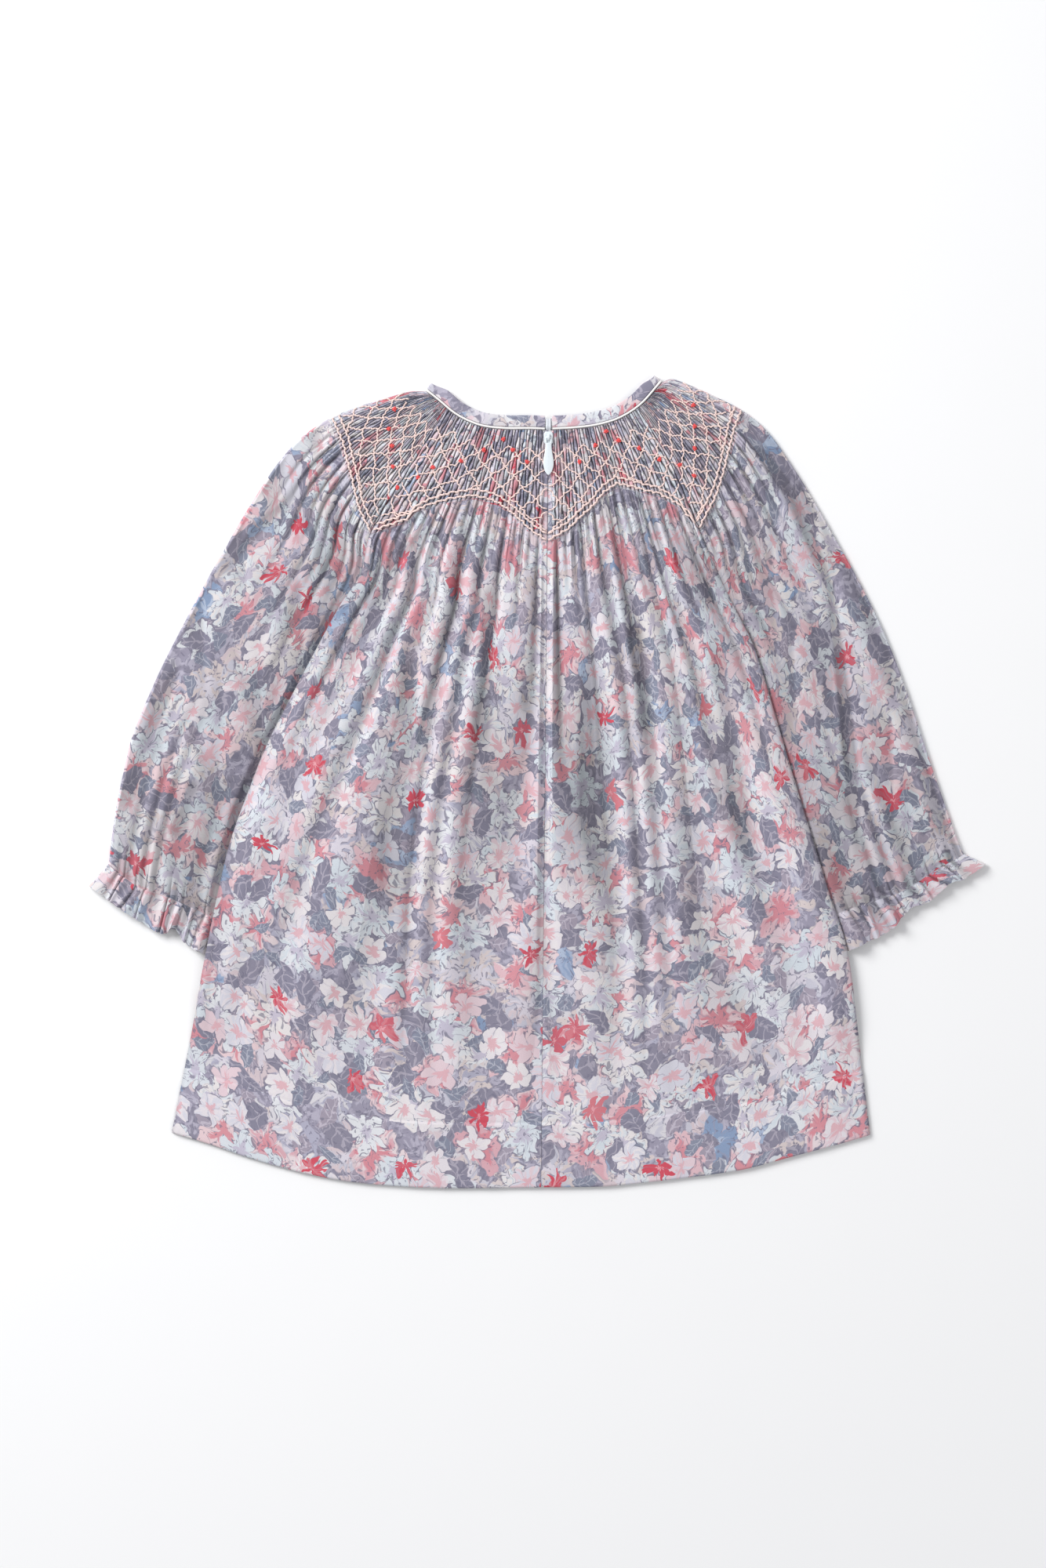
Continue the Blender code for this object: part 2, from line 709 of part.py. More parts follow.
def sleeve(half, folds):
    """Make one sleeve with its elastic cuff and its frill, flattened with its fold outside."""
    smocked = half.side.sleeve_smocking
    fine = 2 * SLEEVE_PLEATS
    frill_columns = 4 * FRILL_WAVES
    outer = []
    inner = []
    levels = (0.0, 0.03, 0.06, 0.09, 0.12, 0.15, 0.18, 0.21, 0.235, 0.26, 0.29, 0.33, 0.37, 0.42, 0.47,
              0.52, 0.57, 0.62, 0.67, 0.72, 0.77, 0.82)
    for down in levels:
        row = sleeve_row(half, half.sleeve, down, fine, smocked, folds, True)
        outer.append((0.9 * down, row))
    for down in (0.87, 0.92, 0.965, 1.0):
        row = sleeve_row(half, half.sleeve, down, frill_columns, smocked, folds, True)
        outer.append((0.9 * down, row))
    for down in (0.2, 0.5, 1.0):
        row = sleeve_row(half, half.frill, down, frill_columns, None, folds, True)
        outer.append((0.9 + 0.1 * down, row))
    inner_levels = (0.0, 0.07, 0.14, 0.2, 0.24, 0.26, 0.28, 0.3, 0.33, 0.37, 0.42, 0.48, 0.54, 0.62, 0.7, 0.78,
                    0.86, 0.93, 1.0)
    for down in inner_levels:
        row = sleeve_row(half, half.sleeve, down, 12, smocked, folds, False)
        inner.append((0.9 * down, row))
    for down in (0.5, 1.0):
        row = sleeve_row(half, half.frill, down, frill_columns, None, folds, False)
        inner.append((0.9 + 0.1 * down, row))
    return make_wall("sleeve_" + half.side.name, outer, inner)


def front_edge(half):
    """Return the points of the front's edge: beside the sleeve, then over it."""
    down = half.side.outward
    count = 90
    points = []
    for i in range(count + 1):
        length = FRONT_START + (half.body.length - FRONT_START) * i / count
        beside = tuck(length) + SEAM_GAP + 0.9
        over = 1.2
        share = smoothstep(164.0, 190.0, length)
        inside = beside + (over - beside) * share
        points.append(offset_point(half.body, length / half.body.length, -down * inside))
    return points


def front_neck_line(left, right):
    """Return the piping's line along the front of the neck, from raglan to raglan."""
    start = left.neck.at(left.side.raglan_share)
    end = right.neck.at(right.side.raglan_share)
    return Line((start, *FRONT_NECK, end))


def front(left, right):
    """Make the front, which lies on the table and rises over the sleeves at its sides."""
    near = front_edge(left)
    far = front_edge(right)
    top = front_neck_line(left, right)
    lowered = []
    count = 24
    for i in range(count + 1):
        lowered.append(offset_point(top, i / count, -PIPING_TO_PANEL - 0.4))
    lowered[0] = near[0]
    lowered[-1] = far[0]
    hem = [(x, y + 1.2) for x, y in reversed(left.side.hem[1:-1])]
    hem += [(x, y + 1.2) for x, y in right.side.hem[1:-1]]
    bottom = (near[-1], *hem, far[-1])
    patch = Patch(Line(lowered, 2), Line(bottom), Line(near, 1), Line(far, 1))
    distances = (0.0, 5.0, 9.0, 12.5, 16.0, 20.0)
    outer = []
    inner = []
    levels = (0.0, 0.03, 0.06, 0.09, 0.12, 0.145, 0.165, 0.18, 0.195, 0.21, 0.23, 0.255, 0.28, 0.305, 0.33,
              0.355, 0.38, 0.405, 0.43, 0.47, 0.53, 0.59, 0.65, 0.71, 0.76, 0.79, 0.82, 0.85, 0.9, 0.95, 1.0)
    for down in levels:
        width = patch.width(down)
        shares = [gap / width for gap in distances]
        middle = 7
        for k in range(1, middle):
            shares.append(shares[5] + (1.0 - 2.0 * shares[5]) * k / middle)
        shares += [1.0 - gap / width for gap in reversed(distances)]
        upper_row = []
        lower_row = []
        for across in shares:
            x, y = patch.at(across, down)
            half = left if across < 0.5 else right
            from_edge = min(across, 1.0 - across) * width
            length = down * half.body.length
            over = smoothstep(164.0, 190.0, length)
            hidden = TUCK_WIDTH * over + 0.8
            rise = front_lift(length) * smoothstep(hidden + 10.5, hidden, from_edge)
            upper_row.append((across, x, y, rise + WALL))
            lower_row.append((across, x, y, rise))
        outer.append((down, upper_row))
        inner.append((down, lower_row))
    return make_wall("front", outer, inner)


@dataclass
class Station:
    """One place along the neck.

    Attributes:
        x: position of the piping's centre.
        y: position of the piping's centre.
        z: height of the piping's centre.
        inward: unit plan vector towards the neck opening.
        normal: unit vector away from the cloth's back.
        narrow: share of the binding's full width.
    """

    x: float
    y: float
    z: float
    inward: tuple
    normal: tuple
    narrow: float


def neck_stations(half):
    """Return the stations of one side, from the centre back over the shoulder to the raglan in front."""
    down = half.side.outward
    stations = []
    start = 2.35 / half.neck.length
    turn = (NECK_TOP_Z - NECK_LOW_Z) / 2
    stop = 1.0 - (turn + 0.2) / half.neck.length
    count = 22
    for i in range(count + 1):
        share = start + (stop - start) * i / count
        x, y = half.neck.at(share)
        nx, ny = half.neck.normal(share)
        narrow = 1.0 - 0.42 * smoothstep(0.86, 1.0, share)
        stations.append(Station(x, y, NECK_TOP_Z, (down * nx, down * ny), (0.0, 0.0, 1.0), narrow))
    x, y = half.neck.at(stop)
    nx, ny = half.neck.normal(stop)
    inward = (down * nx, down * ny)
    out = (ny, -nx)
    middle = (NECK_TOP_Z + NECK_LOW_Z) / 2
    steps = 5
    for i in range(1, steps):
        angle = math.pi * i / steps
        reach = turn * math.sin(angle)
        height = middle + turn * math.cos(angle)
        normal = (math.sin(angle) * out[0], math.sin(angle) * out[1], math.cos(angle))
        stations.append(Station(x + reach * out[0], y + reach * out[1], height, inward, normal, 0.58))
    count = 5
    for i in range(count + 1):
        share = stop + (half.side.raglan_share - stop) * i / count
        x, y = half.neck.at(share)
        nx, ny = half.neck.normal(share)
        narrow = 1.0 - 0.42 * smoothstep(0.86, 1.0, share)
        stations.append(Station(x, y, NECK_LOW_Z, (down * nx, down * ny), (0.0, 0.0, -1.0), narrow))
    return stations


def all_stations(left, right):
    """Return the stations round the neck, from the centre back round to the centre back."""
    first = neck_stations(left)
    last = neck_stations(right)
    line = front_neck_line(left, right)
    middle = []
    count = 16
    for i in range(1, count):
        share = i / count
        x, y = line.at(share)
        middle.append(Station(x, y, NECK_LOW_Z, line.normal(share), (0.0, 0.0, -1.0), 1.0))
    return first + middle + list(reversed(last))


def neck_pieces(left, right):
    """Make the piping cord and the binding above it, both split at the zip."""
    stations = all_stations(left, right)
    cord = []
    band = []
    sides = 6
    for place in stations:
        ring = []
        for k in range(sides):
            angle = 2.0 * math.pi * (k + 0.5) / sides
            wide = PIPING_RADIUS * math.cos(angle)
            high = PIPING_RADIUS * math.sin(angle)
            ring.append(ring_point(place, wide, high))
        cord.append(ring)
        start = PIPING_TO_BINDING
        end = start + BINDING_WIDTH * place.narrow
        profile = (
            (start, -BINDING_HALF),
            (end - 0.5, -BINDING_HALF),
            (end, 0.0),
            (end - 0.5, BINDING_HALF),
            (start, BINDING_HALF),
        )
        band.append([ring_point(place, wide, high) for wide, high in profile])
    make_loft("neck_piping", cord)
    make_loft("neck_binding", band)


def ring_point(place, wide, high):
    """Return the point this far towards the neck opening and this far along the normal."""
    return (
        place.x + wide * place.inward[0] + high * place.normal[0],
        place.y + wide * place.inward[1] + high * place.normal[1],
        place.z + high * place.normal[2],
    )


def centre_back_x(y):
    """Return X of the centre back line at this Y."""
    share = (CENTRE_BACK_TOP[1] - y) / (CENTRE_BACK_TOP[1] - CENTRE_BACK_HEM[1])
    return CENTRE_BACK_TOP[0] + (CENTRE_BACK_HEM[0] - CENTRE_BACK_TOP[0]) * share


def zip_tape():
    """Make the zip's narrow tape, hidden under the centre back and bare at its top."""
    profile = (
        (TAPE_END_Y, TAPE_LOW),
        (120.0, TAPE_LOW),
        (196.3, TAPE_LOW),
        (199.4, 2.5),
        (203.4, 2.65),
    )
    rings = []
    for y, low in profile:
        x = centre_back_x(y)
        half = TAPE_WIDTH / 2
        high = low + TAPE_THICKNESS
        rings.append([(x - half, y, low), (x + half, y, low), (x + half, y, high), (x - half, y, high)])
    make_loft("zip_tape", rings)


def make_slab(name, outline, low, high):
    """Make a flat slab with this outline in the plan."""
    return make_loft(name, [[(x, y, low) for x, y in outline], [(x, y, high) for x, y in outline]])


def cut(target, cutter):
    """Cut one object out of another and hide the cutter."""
    apply_boolean(target, cutter, "DIFFERENCE")


def join(target, other):
    """Join one object to another and hide the second."""
    apply_boolean(target, other, "UNION")


def apply_boolean(target, other, operation):
    """Put an exact Boolean on the target and keep its result as the target's mesh."""
    modifier = target.modifiers.new(operation.lower(), "BOOLEAN")
    modifier.operation = operation
    modifier.solver = "EXACT"
    modifier.object = other
    bpy.context.view_layer.update()
    graph = bpy.context.evaluated_depsgraph_get()
    mesh = bpy.data.meshes.new_from_object(target.evaluated_get(graph))
    target.modifiers.clear()
    target.data = mesh
    bpy.data.objects.remove(other, do_unlink=True)


def rounded_box(cx, cy, width, length, radius):
    """Return the outline of a box with rounded corners."""
    outline = []
    corners = ((1, 1, 0), (-1, 1, 90), (-1, -1, 180), (1, -1, 270))
    for sx, sy, start in corners:
        for step in range(4):
            angle = math.radians(start + 30 * step)
            x = cx + sx * (width / 2 - radius) + radius * math.cos(angle)
            y = cy + sy * (length / 2 - radius) + radius * math.sin(angle)
            outline.append((x, y))
    return outline


def zip_slider():
    """Make the slider: a rounded plate with an arch that holds the pull."""
    x = centre_back_x(SLIDER_Y)
    plate = make_slab("zip_slider", rounded_box(x, SLIDER_Y - 0.2, 5.2, 7.2, 1.2), SLIDER_BASE, SLIDER_BASE + 0.9)
    profile = []
    steps = 12
    for i in range(steps + 1):
        angle = math.pi * i / steps
        profile.append((HINGE_Y + 2.2 * math.cos(angle), SLIDER_BASE + 0.5 + 2.3 * math.sin(angle)))
    for i in range(steps, -1, -1):
        angle = math.pi * i / steps
        profile.append((HINGE_Y + 1.4 * math.cos(angle), SLIDER_BASE + 0.5 + 1.75 * math.sin(angle)))
    half = 0.75
    count = len(profile) // 2
    rings = []
    for i in range(count):
        outer_y, outer_z = profile[i]
        inner_y, inner_z = profile[-1 - i]
        rings.append([
            (x - half, outer_y, outer_z),
            (x + half, outer_y, outer_z),
            (x + half, inner_y, inner_z),
            (x - half, inner_y, inner_z),
        ])
    arch = make_loft("arch", rings)
    join(plate, arch)
    return plate


def zip_pull():
    """Make the teardrop pull with a window that lets the slider's arch through."""
    x = centre_back_x(HINGE_Y)
    thickness = 0.8
    halves = (
        (0.0, 1.9),
        (2.8, 2.0),
        (4.4, 1.7),
        (7.0, 1.8),
        (9.6, 2.25),
        (12.2, 2.8),
        (14.4, 3.0),
        (16.4, 2.7),
        (18.2, 2.0),
        (19.8, 1.2),
        (20.9, 0.5),
        (PULL_LENGTH, 0.12),
    )
    top = HINGE_Y + 0.42
    outline = []
    for distance, half in halves:
        outline.append((x + half, top - distance))
    for distance, half in reversed(halves):
        outline.append((x - half, top - distance))
    low = HINGE_Z - thickness / 2
    pull = make_slab("zip_pull", outline, low, low + thickness)
    window = make_slab("window", [
        (x - 1.15, HINGE_Y - 3.1),
        (x + 1.15, HINGE_Y - 3.1),
        (x + 1.15, HINGE_Y - 0.42),
        (x - 1.15, HINGE_Y - 0.42),
    ], low - 1.0, low + thickness + 1.0)
    cut(pull, window)
    return pull


def main():
    """Clear the scene and make every piece."""
    for thing in list(bpy.data.objects):
        bpy.data.objects.remove(thing, do_unlink=True)
    left = Half(LEFT)
    right = Half(RIGHT)
    front(left, right)
    sleeve(left, LEFT_SLEEVE_FOLDS)
    sleeve(right, RIGHT_SLEEVE_FOLDS)
    back_half(left)
    back_half(right)
    neck_pieces(left, right)
    zip_tape()
    zip_slider()
    zip_pull()


if __name__ == "__main__":
    main()
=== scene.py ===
"""The looks of a child's smocked bishop dress, laid flat with its back up.

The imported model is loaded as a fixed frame. Each cloth piece is then replaced by a finely
divided shell on the same measured lines, with its pleats, gathers and creases, and dressed in a
printed cotton made of shader nodes. The smocking's threads, the seams' stitches, the piping and
the zip are made as pieces of their own. Lines are kept in millimetres and scaled when a mesh is
made. X runs to the right of the photo, Y to the neck and Z up from the table.
"""

from __future__ import annotations

import logging
import math
from dataclasses import dataclass
from enum import Enum

import bpy
import numpy as np
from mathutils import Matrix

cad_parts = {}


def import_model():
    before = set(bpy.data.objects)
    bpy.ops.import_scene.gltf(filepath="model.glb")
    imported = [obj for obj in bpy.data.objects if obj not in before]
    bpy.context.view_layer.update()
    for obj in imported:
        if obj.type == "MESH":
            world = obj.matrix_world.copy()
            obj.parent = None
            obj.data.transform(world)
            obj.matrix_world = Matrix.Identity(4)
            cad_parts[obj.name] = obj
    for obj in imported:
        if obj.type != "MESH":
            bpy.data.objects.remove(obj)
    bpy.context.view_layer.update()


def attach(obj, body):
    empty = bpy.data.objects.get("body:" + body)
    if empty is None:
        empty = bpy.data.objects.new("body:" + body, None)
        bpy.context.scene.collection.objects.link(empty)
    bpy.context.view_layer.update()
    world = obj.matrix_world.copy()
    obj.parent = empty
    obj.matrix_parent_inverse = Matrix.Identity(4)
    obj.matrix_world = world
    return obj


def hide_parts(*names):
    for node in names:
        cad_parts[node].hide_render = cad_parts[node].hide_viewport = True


LOG = logging.getLogger("smocked_dress")

MILLIMETRE = 0.001
MAIN_BODY = "dress"
PULL_BODY = "pull_tab"

CENTRE_BACK_TOP = (6.4, 197.6)
CENTRE_BACK_HEM = (2.2, -228.4)
SEAM_GAP = 0.34
CLOSED_SEAM = 0.12
PIPING_TO_PANEL = 1.02
LOWEST_CLOTH = 0.35
# How much of a gathered piece's cut cloth shows, and how far the print moves from pleat to pleat.
SHOWING_SHARE = 130.0 / 212.0
PRINT_SLIP = 34.0
FULL_TURN = 6.2832

Point = tuple[float, float]
Array = np.ndarray
Rgb = tuple[int, int, int]
Object = bpy.types.Object
Material = bpy.types.Material
Node = bpy.types.Node
Socket = bpy.types.NodeSocket
Tree = bpy.types.NodeTree


class Half(Enum):
    """The two halves of the dress, as the photo shows them; the value is the sign of X."""

    LEFT = -1
    RIGHT = 1


class Motif(Enum):
    """The kinds of printed motif, with (petals, notch between them, unevenness, squash)."""

    DAISY = (9.0, 0.52, 0.62, 0.35)
    BLOSSOM = (5.0, 0.44, 0.45, 0.30)
    ROSE = (6.0, 0.22, 0.60, 0.30)
    SPARK = (7.0, 0.50, 1.10, 0.80)
    CLOUD = (7.0, 0.20, 0.90, 0.50)


def linear(red: int, green: int, blue: int) -> tuple[float, float, float, float]:
    """Turn screen values from 0 to 255 into a linear colour.

    Args:
        red, green, blue: the values.

    Returns:
        The linear colour with an alpha of one.
    """
    shares = (red / 255.0, green / 255.0, blue / 255.0)
    bent = (share / 12.92 if share <= 0.04045 else ((share + 0.055) / 1.055) ** 2.4 for share in shares)
    return (*bent, 1.0)


def smooth(start: float | Array, end: float | Array, value: float | Array) -> Array:
    """Return 0 at start and 1 at end, with a smooth change between them.

    Args:
        start: the value that gives 0.
        end: the value that gives 1.
        value: where to read the change.

    Returns:
        The smooth share.
    """
    share = np.clip((value - start) / (end - start), 0.0, 1.0)
    return share * share * (3.0 - 2.0 * share)


def table(rows: tuple[Point, ...], share: float | Array) -> Array:
    """Read a table of (share, value) rows, with straight lines between the rows."""
    return np.interp(share, [row[0] for row in rows], [row[1] for row in rows])


def rows_of(points: Array) -> list[Point]:
    """Return an array of plan points as a list of pairs."""
    return [tuple(point) for point in points]


def waver(number: float | Array) -> Array:
    """Return a repeatable value from 0 to 1 for a pleat's number."""
    return 0.5 + 0.5 * np.sin(number * 2.4 + np.sin(number * 1.7) * 2.0)


def drift(x: Array, y: Array, size: float, seed: float) -> Array:
    """Return a slow, repeatable unevenness from -1 to 1 over the plan.

    Args:
        x, y: plan positions in millimetres.
        size: the rough width of one swell in millimetres.
        seed: a number that gives another pattern.

    Returns:
        The unevenness.
    """
    a = np.sin(x / size * 2.9 + y / size * 1.1 + seed)
    b = np.sin(x / size * 1.3 - y / size * 2.3 + seed * 2.1 + 1.7 * a)
    c = np.sin(x / size * 4.1 + y / size * 3.7 + seed * 3.3 + 1.1 * b)
    return (a + b + 0.6 * c) / 2.6


@dataclass(frozen=True)
class Fold:
    """One listed crease of the cloth.

    Attributes:
        points: its line in the plan, in millimetres.
        width: the distance at which it has nearly faded, in millimetres.
        height: its rise, negative for a trough, in millimetres.
    """

    points: tuple[Point, ...]
    width: float
    height: float


@dataclass(frozen=True)
class Gather:
    """One narrow trough that runs down from the smocking along the grain.

    Attributes:
        across: share across the panel where it starts.
        lean: how far it moves across on its way down, as a share.
        length: its length in millimetres.
        width: the distance at which it has nearly faded, in millimetres.
        depth: its depth in millimetres.
    """

    across: float
    lean: float
    length: float
    width: float
    depth: float


def gathers(*rows: tuple[float, float, float, float, float]) -> tuple[Gather, ...]:
    """Return gathers from rows of their five measures."""
    return tuple(Gather(*row) for row in rows)


@dataclass(frozen=True)
class SideLines:
    """The measured lines of one half of the dress, in millimetres in the plan.

    Attributes:
        half: which half it is.
        neck: the piping's centre line from the centre back to the shoulder.
        raglan_share: where along the neck line the raglan seam starts.
        body_edge: the raglan seam and then the side of the skirt, without its first point.
        hem: the hem from the centre back to the side.
        fold_edge: the sleeve's outer fold from the shoulder to the cuff, without its first point.
        cuff: the elastic line from the body to the outer fold.
        frill: the frill's edge from the body to its tip.
        back_smocking: (share across, share down) of the smocking's lower edge on the back.
        sleeve_smocking: the same on the sleeve, from the raglan to the fold.
    """

    half: Half
    neck: tuple[Point, ...]
    raglan_share: float
    body_edge: tuple[Point, ...]
    hem: tuple[Point, ...]
    fold_edge: tuple[Point, ...]
    cuff: tuple[Point, ...]
    frill: tuple[Point, ...]
    back_smocking: tuple[Point, ...]
    sleeve_smocking: tuple[Point, ...]


LEFT_LINES = SideLines(
    half=Half.LEFT,
    neck=(CENTRE_BACK_TOP, (-4.4, 198.0), (-17.2, 198.0), (-29.7, 199.3), (-38.3, 202.2), (-46.6, 206.8),
          (-55.0, 213.8), (-62.2, 219.6)),
    raglan_share=0.79,
    body_edge=((-72.6, 174.2), (-93.2, 140.4), (-99.0, 117.0), (-110.8, 98.6), (-125.8, 70.8), (-140.8, 42.2),
               (-151.8, 20.2), (-160.6, -1.8), (-173.8, -39.2), (-186.1, -96.4), (-193.6, -138.2),
               (-205.5, -197.6)),
    hem=(CENTRE_BACK_HEM, (-26.0, -228.8), (-55.0, -228.8), (-81.4, -227.5), (-107.8, -224.8),
         (-134.2, -219.6), (-160.6, -212.1), (-183.9, -204.2), (-205.5, -197.6)),
    fold_edge=((-74.4, 218.2), (-94.6, 212.1), (-107.8, 207.7), (-121.0, 201.1), (-134.2, 191.4),
               (-147.4, 176.0), (-160.6, 155.8), (-173.8, 133.3), (-187.0, 110.0), (-200.2, 84.9),
               (-213.4, 58.5), (-226.6, 27.3), (-231.9, 7.0), (-237.2, -19.4), (-240.6, -46.6)),
    cuff=((-186.1, -74.4), (-205.9, -65.6), (-224.0, -59.0), (-240.6, -46.6)),
    frill=((-185.5, -98.0), (-197.1, -91.8), (-204.2, -82.6), (-209.5, -86.2), (-220.0, -81.0),
           (-236.7, -70.0), (-251.7, -59.0)),
    back_smocking=((0.0, 0.147), (0.09, 0.136), (0.17, 0.122), (0.25, 0.11), (0.335, 0.1), (0.4, 0.0965),
                   (0.52, 0.094), (0.66, 0.105), (0.75, 0.119), (0.815, 0.132), (0.843, 0.15), (0.92, 0.168),
                   (1.0, 0.187)),
    sleeve_smocking=((0.0, 0.258), (0.185, 0.241), (0.42, 0.209), (0.71, 0.178), (0.91, 0.167), (1.0, 0.163)),
)

RIGHT_LINES = SideLines(
    half=Half.RIGHT,
    neck=(CENTRE_BACK_TOP, (20.7, 198.4), (33.4, 200.0), (46.2, 203.9), (58.5, 211.9), (69.6, 224.6)),
    raglan_share=0.72,
    body_edge=((74.8, 178.6), (91.0, 141.4), (102.5, 115.3), (113.5, 92.4), (121.0, 77.4), (128.0, 56.3),
               (138.6, 20.2), (145.2, -1.8), (162.8, -59.0), (174.2, -95.0), (180.0, -138.2), (187.4, -198.9)),
    hem=(CENTRE_BACK_HEM, (37.4, -227.9), (63.8, -225.3), (90.2, -222.2), (116.6, -218.2), (143.0, -211.2),
         (169.4, -204.2), (187.4, -198.9)),
    fold_edge=((77.0, 225.7), (90.2, 220.4), (103.4, 214.3), (116.6, 207.2), (129.8, 195.8), (143.0, 177.3),
               (156.2, 156.2), (169.4, 132.9), (182.6, 108.7), (195.8, 81.4), (209.0, 46.6), (222.2, 6.6),
               (235.4, -30.8), (239.6, -41.0)),
    cuff=((170.3, -73.5), (187.0, -67.8), (204.6, -62.0), (222.2, -51.0), (239.6, -41.0)),
    frill=((176.5, -94.6), (187.0, -89.8), (196.7, -85.4), (203.7, -78.3), (210.8, -70.8), (219.1, -68.6),
           (231.9, -57.6), (240.2, -55.0), (252.1, -46.6)),
    back_smocking=((0.0, 0.147), (0.14, 0.134), (0.23, 0.1195), (0.325, 0.108), (0.42, 0.092), (0.54, 0.083),
                   (0.65, 0.092), (0.755, 0.105), (0.82, 0.112), (0.93, 0.136), (1.0, 0.178)),
    sleeve_smocking=((0.0, 0.248), (0.25, 0.225), (0.55, 0.185), (0.77, 0.163), (0.95, 0.152), (1.0, 0.15)),
)

FRONT_NECK = ((-28.6, 185.6), (-12.0, 177.2), (6.6, 174.2), (24.0, 178.4), (39.6, 187.4))

BACK_FOLDS = (
    Fold(((-26.4, 117.0), (-29.0, 60.0), (-32.1, 11.4)), 4.5, -1.1),
    Fold(((-8.8, 64.2), (-6.6, 33.4)), 4.0, -0.6),
    Fold(((26.4, 77.4), (28.6, -23.8), (37.4, -67.8)), 5.0, -1.1),
    Fold(((52.8, 95.0), (61.6, 20.2)), 5.0, -1.0),
    Fold(((-72.6, 77.4), (-72.6, 20.2), (-81.4, -23.8), (-85.8, -103.0)), 5.5, -1.2),
    Fold(((-63.8, 143.4), (-80.0, 118.0), (-99.0, 86.2)), 3.6, -1.3),
    Fold(((-66.0, 130.2), (-90.0, 106.0), (-112.2, 77.4)), 5.5, 1.3),
    Fold(((-50.0, 120.0), (-56.0, -20.0)), 9.0, 1.1),
    Fold(((-16.0, 105.0), (-18.0, -10.0)), 7.0, 0.8),
    Fold(((40.0, 130.0), (46.0, -40.0)), 7.0, 1.0),
    Fold(((74.0, 120.0), (88.0, -30.0)), 9.0, 1.2),
    Fold(((98.0, 84.0), (120.0, -60.0)), 5.5, -0.9),
    Fold(((-112.0, 40.0), (-138.0, -90.0)), 10.0, 0.9),
)
LEFT_SLEEVE_FOLDS = (
    Fold(((-112.2, 165.4), (-140.0, 90.0), (-169.4, -1.8)), 10.0, 1.7),
    Fold(((-129.8, 121.4), (-154.0, 15.8), (-173.8, -39.2)), 4.5, -1.4),
    Fold(((-132.0, 165.4), (-158.0, 140.0), (-182.6, 108.2)), 3.4, -0.9),
    Fold(((-198.0, 73.0), (-220.0, 20.2), (-235.4, -23.8)), 5.0, -1.0),
    Fold(((-191.4, 2.6), (-204.6, -37.0)), 4.5, -1.0),
    Fold(((-170.0, 110.0), (-210.0, 0.0)), 10.0, 1.2),
)
RIGHT_SLEEVE_FOLDS = (
    Fold(((116.6, 196.2), (143.0, 161.0), (165.0, 108.2), (173.8, 29.0), (180.4, -55.0)), 3.2, -1.6),
    Fold(((120.0, 150.0), (150.0, 60.0), (166.0, -30.0)), 8.0, 1.3),
    Fold(((165.0, 140.0), (192.0, 50.0), (204.0, -30.0)), 10.0, 1.3),
    Fold(((188.0, 60.0), (214.0, -20.0)), 4.0, -0.9),
)

LEFT_GATHERS = gathers(
    (0.055, 0.0, 112.0, 1.6, 0.9), (0.105, 0.004, 26.0, 1.1, 0.7), (0.15, 0.01, 66.0, 1.3, 1.1),
    (0.2, -0.008, 34.0, 1.2, 0.9), (0.262, 0.0, 250.0, 2.4, 1.5), (0.315, 0.012, 30.0, 1.2, 0.8),
    (0.362, -0.01, 84.0, 1.4, 1.2), (0.42, 0.0, 40.0, 1.3, 1.0), (0.47, 0.018, 226.0, 2.6, 1.6),
    (0.525, -0.012, 32.0, 1.2, 0.8), (0.58, 0.008, 96.0, 1.5, 1.2), (0.64, 0.0, 44.0, 1.4, 1.0),
    (0.7, 0.014, 198.0, 2.6, 1.7), (0.752, -0.008, 34.0, 1.2, 0.9), (0.8, 0.006, 78.0, 1.5, 1.3),
    (0.856, -0.004, 40.0, 1.5, 1.2), (0.905, 0.012, 170.0, 2.4, 1.8), (0.95, 0.0, 30.0, 1.4, 1.1),
)
RIGHT_GATHERS = gathers(
    (0.06, 0.002, 150.0, 1.8, 1.0), (0.12, -0.006, 36.0, 1.2, 0.8), (0.175, 0.006, 72.0, 1.3, 1.1),
    (0.228, 0.0, 255.0, 2.5, 1.6), (0.285, -0.012, 32.0, 1.2, 0.9), (0.335, 0.01, 92.0, 1.5, 1.3),
    (0.395, 0.0, 42.0, 1.3, 1.0), (0.448, 0.014, 205.0, 2.4, 1.5), (0.51, -0.01, 34.0, 1.2, 0.9),
    (0.566, 0.006, 84.0, 1.5, 1.2), (0.622, 0.0, 30.0, 1.3, 1.0), (0.68, 0.014, 214.0, 2.7, 1.7),
    (0.742, -0.008, 38.0, 1.3, 1.0), (0.798, 0.006, 90.0, 1.6, 1.3), (0.85, 0.0, 34.0, 1.4, 1.0),
    (0.905, 0.01, 190.0, 2.4, 1.8), (0.955, -0.004, 32.0, 1.4, 1.0),
)
LEFT_SLEEVE_GATHERS = gathers(
    (0.06, 0.0, 70.0, 1.4, 1.3), (0.13, 0.02, 104.0, 1.6, 1.3), (0.215, -0.012, 64.0, 1.3, 1.1),
    (0.3, 0.018, 128.0, 1.7, 1.3), (0.39, 0.0, 72.0, 1.3, 1.1), (0.47, 0.022, 112.0, 1.6, 1.2),
    (0.56, -0.01, 58.0, 1.2, 1.0), (0.65, 0.016, 92.0, 1.5, 1.0), (0.75, 0.0, 66.0, 1.3, 0.8),
    (0.85, 0.01, 84.0, 1.4, 0.6),
)
